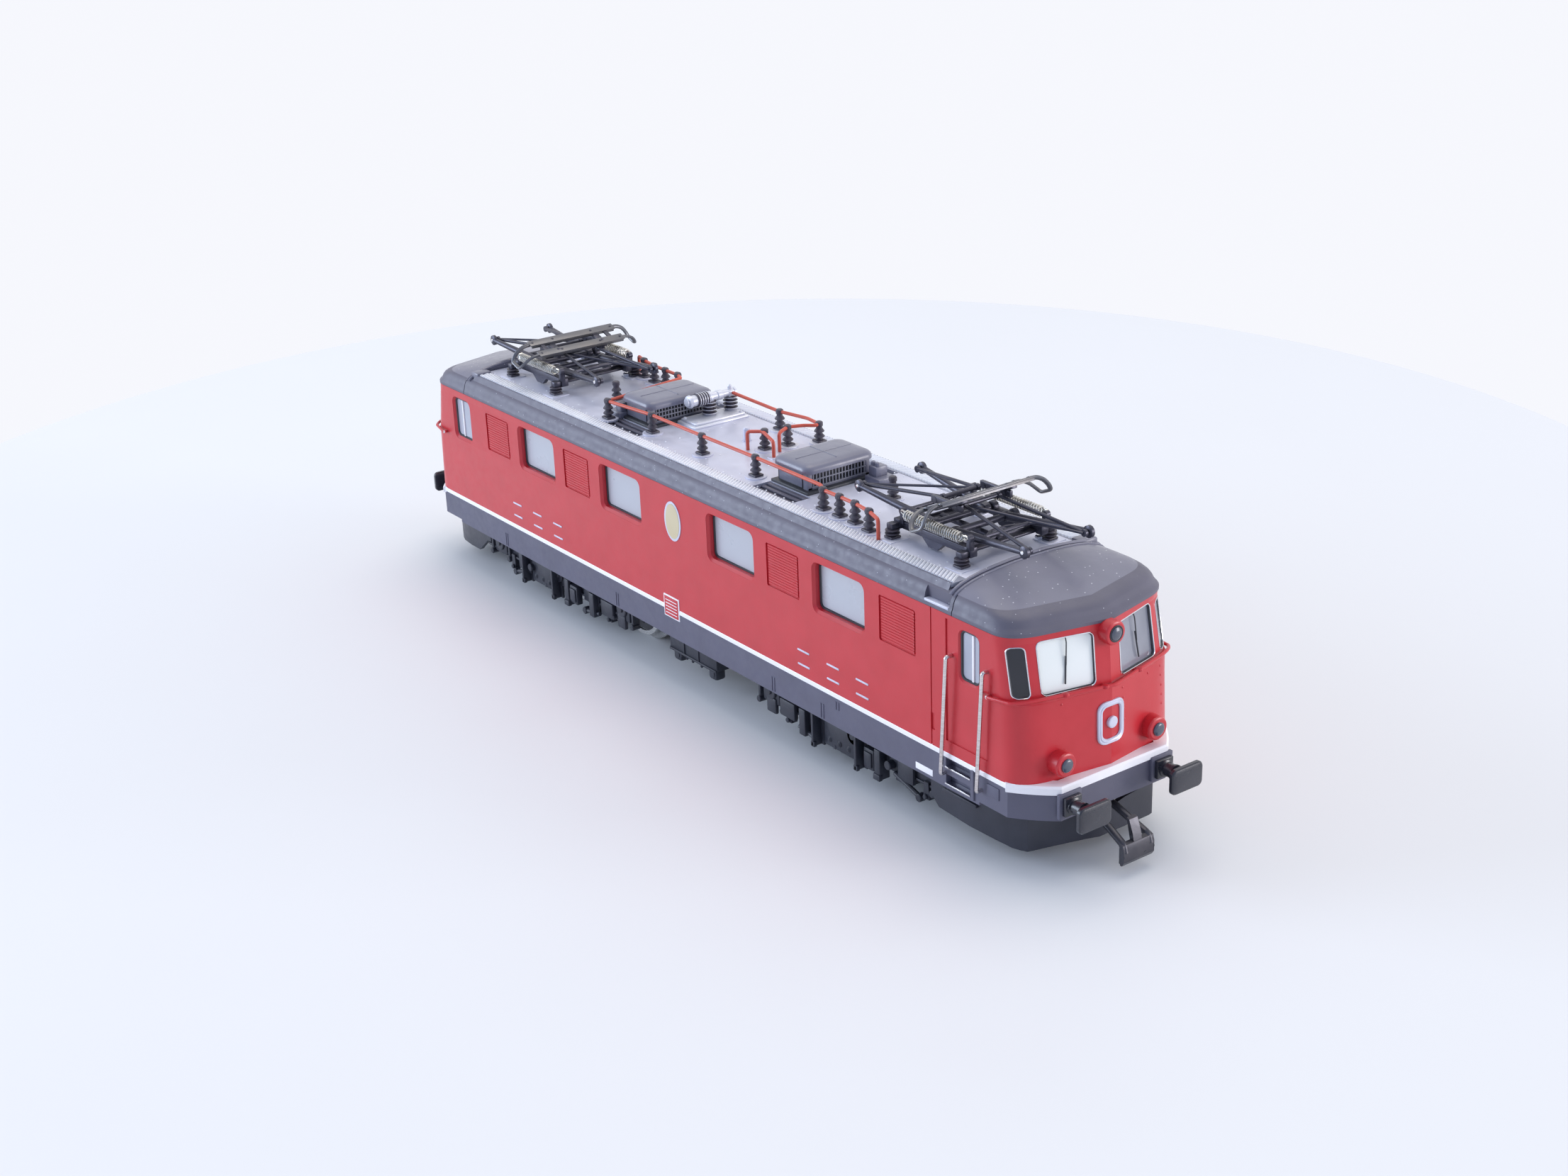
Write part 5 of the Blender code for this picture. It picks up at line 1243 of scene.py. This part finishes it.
def add_side_frame(bogie, side):
    """Axle boxes, hangers, brake shoes and sand boxes along one side, with x from the pivot."""
    def slab(x_low, x_high, y_low, y_high, z_low, z_high, bevel=0.12):
        bogie.box((x_low, side * y_low, z_low), (x_high, side * y_high, z_high), bevel)

    def boss(x, z, radius, y_low, y_high, sides=18):
        length = y_high - y_low
        bogie.turned([(0, 0), (radius, 0), (radius, length - 0.15), (radius - 0.15, length), (0, length)],
                     (x, side * y_low, z), (0, side, 0), sides)

    slab(-27.0, 31.0, 12.5, 13.6, 6.0, 9.2)
    slab(-27.0, 31.0, 12.4, 13.9, 8.7, 9.3)
    slab(-27.0, 31.0, 12.4, 13.9, 5.7, 6.2)
    for axle in (-AXLE_PITCH, 0.0, AXLE_PITCH):
        slab(axle - 2.5, axle + 2.5, 12.3, 14.1, 5.4, 9.6, 0.3)
        boss(axle, 7.9, 1.7, 13.8, 14.5)
        boss(axle, 7.9, 0.7, 14.3, 14.8)
        for hanger in (-3.6, 3.6):
            slab(axle + hanger - 0.35, axle + hanger + 0.35, 12.6, 14.2, 4.4, 9.3)
            boss(axle + hanger, 5.0, 0.65, 13.0, 14.5, 12)
        for shoe in (axle - 5.3, axle + 5.3):
            if abs(shoe) > 28.5:
                continue
            bogie.loft([[(shoe - 0.8, y, 3.4), (shoe + 0.8, y, 3.4), (shoe + 0.55, y, 6.6),
                         (shoe - 0.55, y, 6.6)] for y in (side * 12.7, side * 14.1)])
            boss(shoe, 3.9, 0.5, 13.2, 14.6, 10)
    for arm in (-HALF_PITCH, HALF_PITCH):
        slab(arm - 1.8, arm + 1.8, 12.2, 13.5, 3.3, 6.2)
        slab(arm - 2.9, arm + 2.9, 12.9, 14.0, 5.0, 8.6, 0.3)
    group, other = (10.2, -12.0) if side > 0 else (0.0, 0.0)
    for bracket in (group - 10.0, group + 2.3):
        slab(bracket - 0.3, bracket + 0.3, 13.6, 15.9, 2.7, 9.9, 0.1)
        slab(bracket - 1.1, bracket + 1.1, 13.6, 14.1, 2.7, 9.6, 0.1)
        slab(bracket - 0.55, bracket + 0.55, 15.2, 15.9, 2.6, 3.6, 0.15)
    slab(group - 8.4, group + 0.6, 13.6, 14.5, 3.4, 8.9, 0.35)
    slab(group - 8.6, group + 0.8, 13.6, 14.9, 8.3, 8.9, 0.15)
    for hole in (group - 6.6, group - 3.9, group - 1.2):
        boss(hole, 4.9, 0.62, 14.3, 14.65)
        boss(hole, 4.9, 0.4, 14.4, 14.8)
    boss(group - 4.4, 9.4, 0.5, 14.4, 15.4, 12)
    slab(group - 6.6, group - 2.2, 14.2, 15.0, 9.2, 9.7, 0.1)
    slab(other + 3.6, other + 6.4, 13.6, 15.0, 3.6, 7.6, 0.25)
    slab(other + 4.0, other + 6.0, 14.8, 15.3, 4.2, 7.0, 0.15)
    slab(other + 6.7, other + 8.3, 12.9, 15.2, 2.7, 8.4, 0.2)
    slab(other + 6.6, other + 8.4, 14.6, 15.4, 2.6, 3.8, 0.15)
    slab(-15.0, -13.2, 13.4, 15.1, 3.0, 8.2, 0.2)
    boss(10.4, 6.5, 0.85, 13.5, 15.3)
    slab(12.2, 16.4, 13.6, 14.5, 4.6, 8.4, 0.3)
    slab(-21.5, -17.0, 13.6, 14.6, 4.4, 7.8, 0.3)
    slab(-25.8, -23.0, 13.6, 14.4, 3.6, 6.6, 0.25)
    for low, high in (((11.2, 5.2), (18.0, 3.2)), ((-16.0, 4.0), (-10.6, 3.2))):
        bogie.rod((low[0], side * 14.2, low[1]), (high[0], side * 14.2, high[1]), 0.45, 10)
        boss(*high, 0.75, 13.6, 14.8, 12)


LONG_SIDE = (  # x from the pivot, half width, foot and top of the rail guard, from its back to its nose
    (21.5, 14.75, 5.6, 9.7), (23.5, 14.75, 3.8, 9.7), (31.0, 14.6, 3.3, 9.7), (36.5, 13.9, 2.9, 9.7),
    (40.0, 13.3, 2.6, 9.7), (41.6, 12.75, 2.6, 9.6), (42.5, 12.25, 2.6, 9.2), (42.8, 11.4, 2.6, 8.6),
    (44.4, 5.6, 2.6, 8.0), (45.4, 2.2, 2.6, 7.2))
CUT_SIDE = (
    (29.8, 13.75, 6.4, 9.7), (31.5, 13.7, 6.2, 9.7), (33.5, 13.65, 4.6, 9.7), (35.6, 13.6, 2.9, 9.7),
    (40.0, 13.3, 2.6, 9.7), (44.0, 12.9, 2.6, 9.6), (45.9, 12.2, 2.6, 9.2), (46.1, 11.4, 2.6, 8.6),
    (46.2, 5.6, 2.6, 8.0), (46.2, 2.2, 2.6, 7.2))


def add_apron(bogie):
    """The rail guard, a blunt V with one long side and one cut back."""
    path = [(x, -y, low, high) for x, y, low, high in LONG_SIDE] + [(46.2, 0.0, 2.6, 7.0)]
    path += reversed(CUT_SIDE)
    rings = []
    for before, (x, y, low, high), after in zip(path[:1] + path, path, path[1:] + path[-1:]):
        along = (Vector(after[:2]) - Vector(before[:2])).normalized()
        inner_x, inner_y = x - 0.85 * along.y, y + 0.85 * along.x
        rings.append([(x, y, low), (x, y, high), (inner_x, inner_y, high), (inner_x, inner_y, low)])
    bogie.loft(rings, 1)
    bogie.box((24.5, -14.95, 7.4), (33.0, -14.2, 8.0), 0.12, 1)


def build_wheels():
    """Six wheelsets, each on its own body."""
    tyre = [(6.2, 7.1), (6.2, 7.35), (8.2, 7.0), (8.45, 7.2), (8.4, 7.5), (7.55, 7.75), (7.3, 8.05),
            (7.22, 9.6), (7.05, 9.8), (6.2, 9.8), (6.1, 9.45)]
    web = [(0, 7.15), (6.3, 7.15), (6.3, 9.5), (0, 9.5)]
    hub = [(2.1, 9.3), (2.0, 10.0), (1.2, 10.2), (0.75, 10.3), (0.75, 11.6), (0, 11.6)]
    for end, which in ENDS:
        for number in (1, 2, 3):
            wheel = Shape()
            middle = (end * PIVOT_X + (2 - number) * AXLE_PITCH, 0, AXLE_HEIGHT)
            for side in (1, -1):
                for profile, sides, material in ((tyre, 48, 0), (web, 32, 1), (hub, 20, 0)):
                    wheel.turned(profile, middle, (0, side, 0), sides, material)
                for c, s in circle(8):
                    hole = (middle[0] + 4.1 * c, side * 9.4, AXLE_HEIGHT + 4.1 * s)
                    wheel.turned([(0.8, 0), (0.8, 0.25), (0.6, 0.3), (0, 0.3)], hole, (0, side, 0), 12, 1)
            wheel.rod(beside(Vector(middle), -7.3), beside(Vector(middle), 7.3), 1.0, 20)
            name = f"wheelset_{which}_{number}"
            piece(f"wheels_{which}_{number}", wheel, [TYRE, WHEEL_DARK], [name], name)


def build_underfloor():
    """The box between the bogies, with its ribbed side covers, feet and taps."""
    gear, half = Shape(), Shape()
    gear.box((-8.0, -12.6, 9.6), (8.0, 12.6, 10.7), 0.15)
    half.box((-9.0, -13.6, 4.8), (7.0, -10.6, 10.4), 0.2)
    half.box((-8.6, -13.9, 9.2), (6.6, -13.4, 10.2), 0.12)
    for x in (-4.0, 0.9):
        half.box((x, -13.8, 4.9), (x + 0.25, -13.5, 9.4), 0.06)
    half.box((-8.9, -13.85, 4.7), (6.9, -13.3, 5.2), 0.12)
    for foot in (-8.4, 3.6):
        half.box((foot, -13.3, 2.6), (foot + 2.6, -11.0, 5.2), 0.5)
        half.turned([(0, 0), (0.8, 0), (0.8, 0.2), (0, 0.25)], (foot + 1.3, -13.2, 3.9), (0, -1, 0), 14)
    for x in (-5.2, -3.4, -1.4, 1.6):
        half.turned([(0.28, 0), (0.28, 0.7), (0.18, 0.85), (0, 0.85)], (x, -13.4, 4.9), (0, 0, -1), 8)
    half.at_both_ends()
    gear.absorb(half)
    piece("underfloor_gear", gear, [BLACK], ["underfloor_box"])


def finish_inner_parts():
    """Give the working parts that stay as they are their own finishes."""
    finishes = {"chassis_frame": DIECAST, "motor_housing": MOTOR, "motor_armature": MOTOR,
                "circuit_board": BOARD}
    for which in ("front", "rear"):
        finishes[f"cardan_shaft_{which}"] = MOTOR
        finishes[f"worm_{which}"] = BRASS
        finishes[f"gear_block_{which}"] = DIECAST
        finishes[f"bottom_cover_{which}"] = BLACK
    for name, material in finishes.items():
        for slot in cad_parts[name].material_slots:
            slot.material = material


set_stage()
build_body()
build_skirt()
build_glazing()
build_badges()
build_roof()
build_deck()
build_roof_line()
build_breaker()
build_hoods()
for pantograph in PANTOGRAPHS:
    build_pantograph(*pantograph)
build_handrails()
build_buffers()
build_couplers()
build_bogies()
build_wheels()
build_underfloor()
finish_inner_parts()
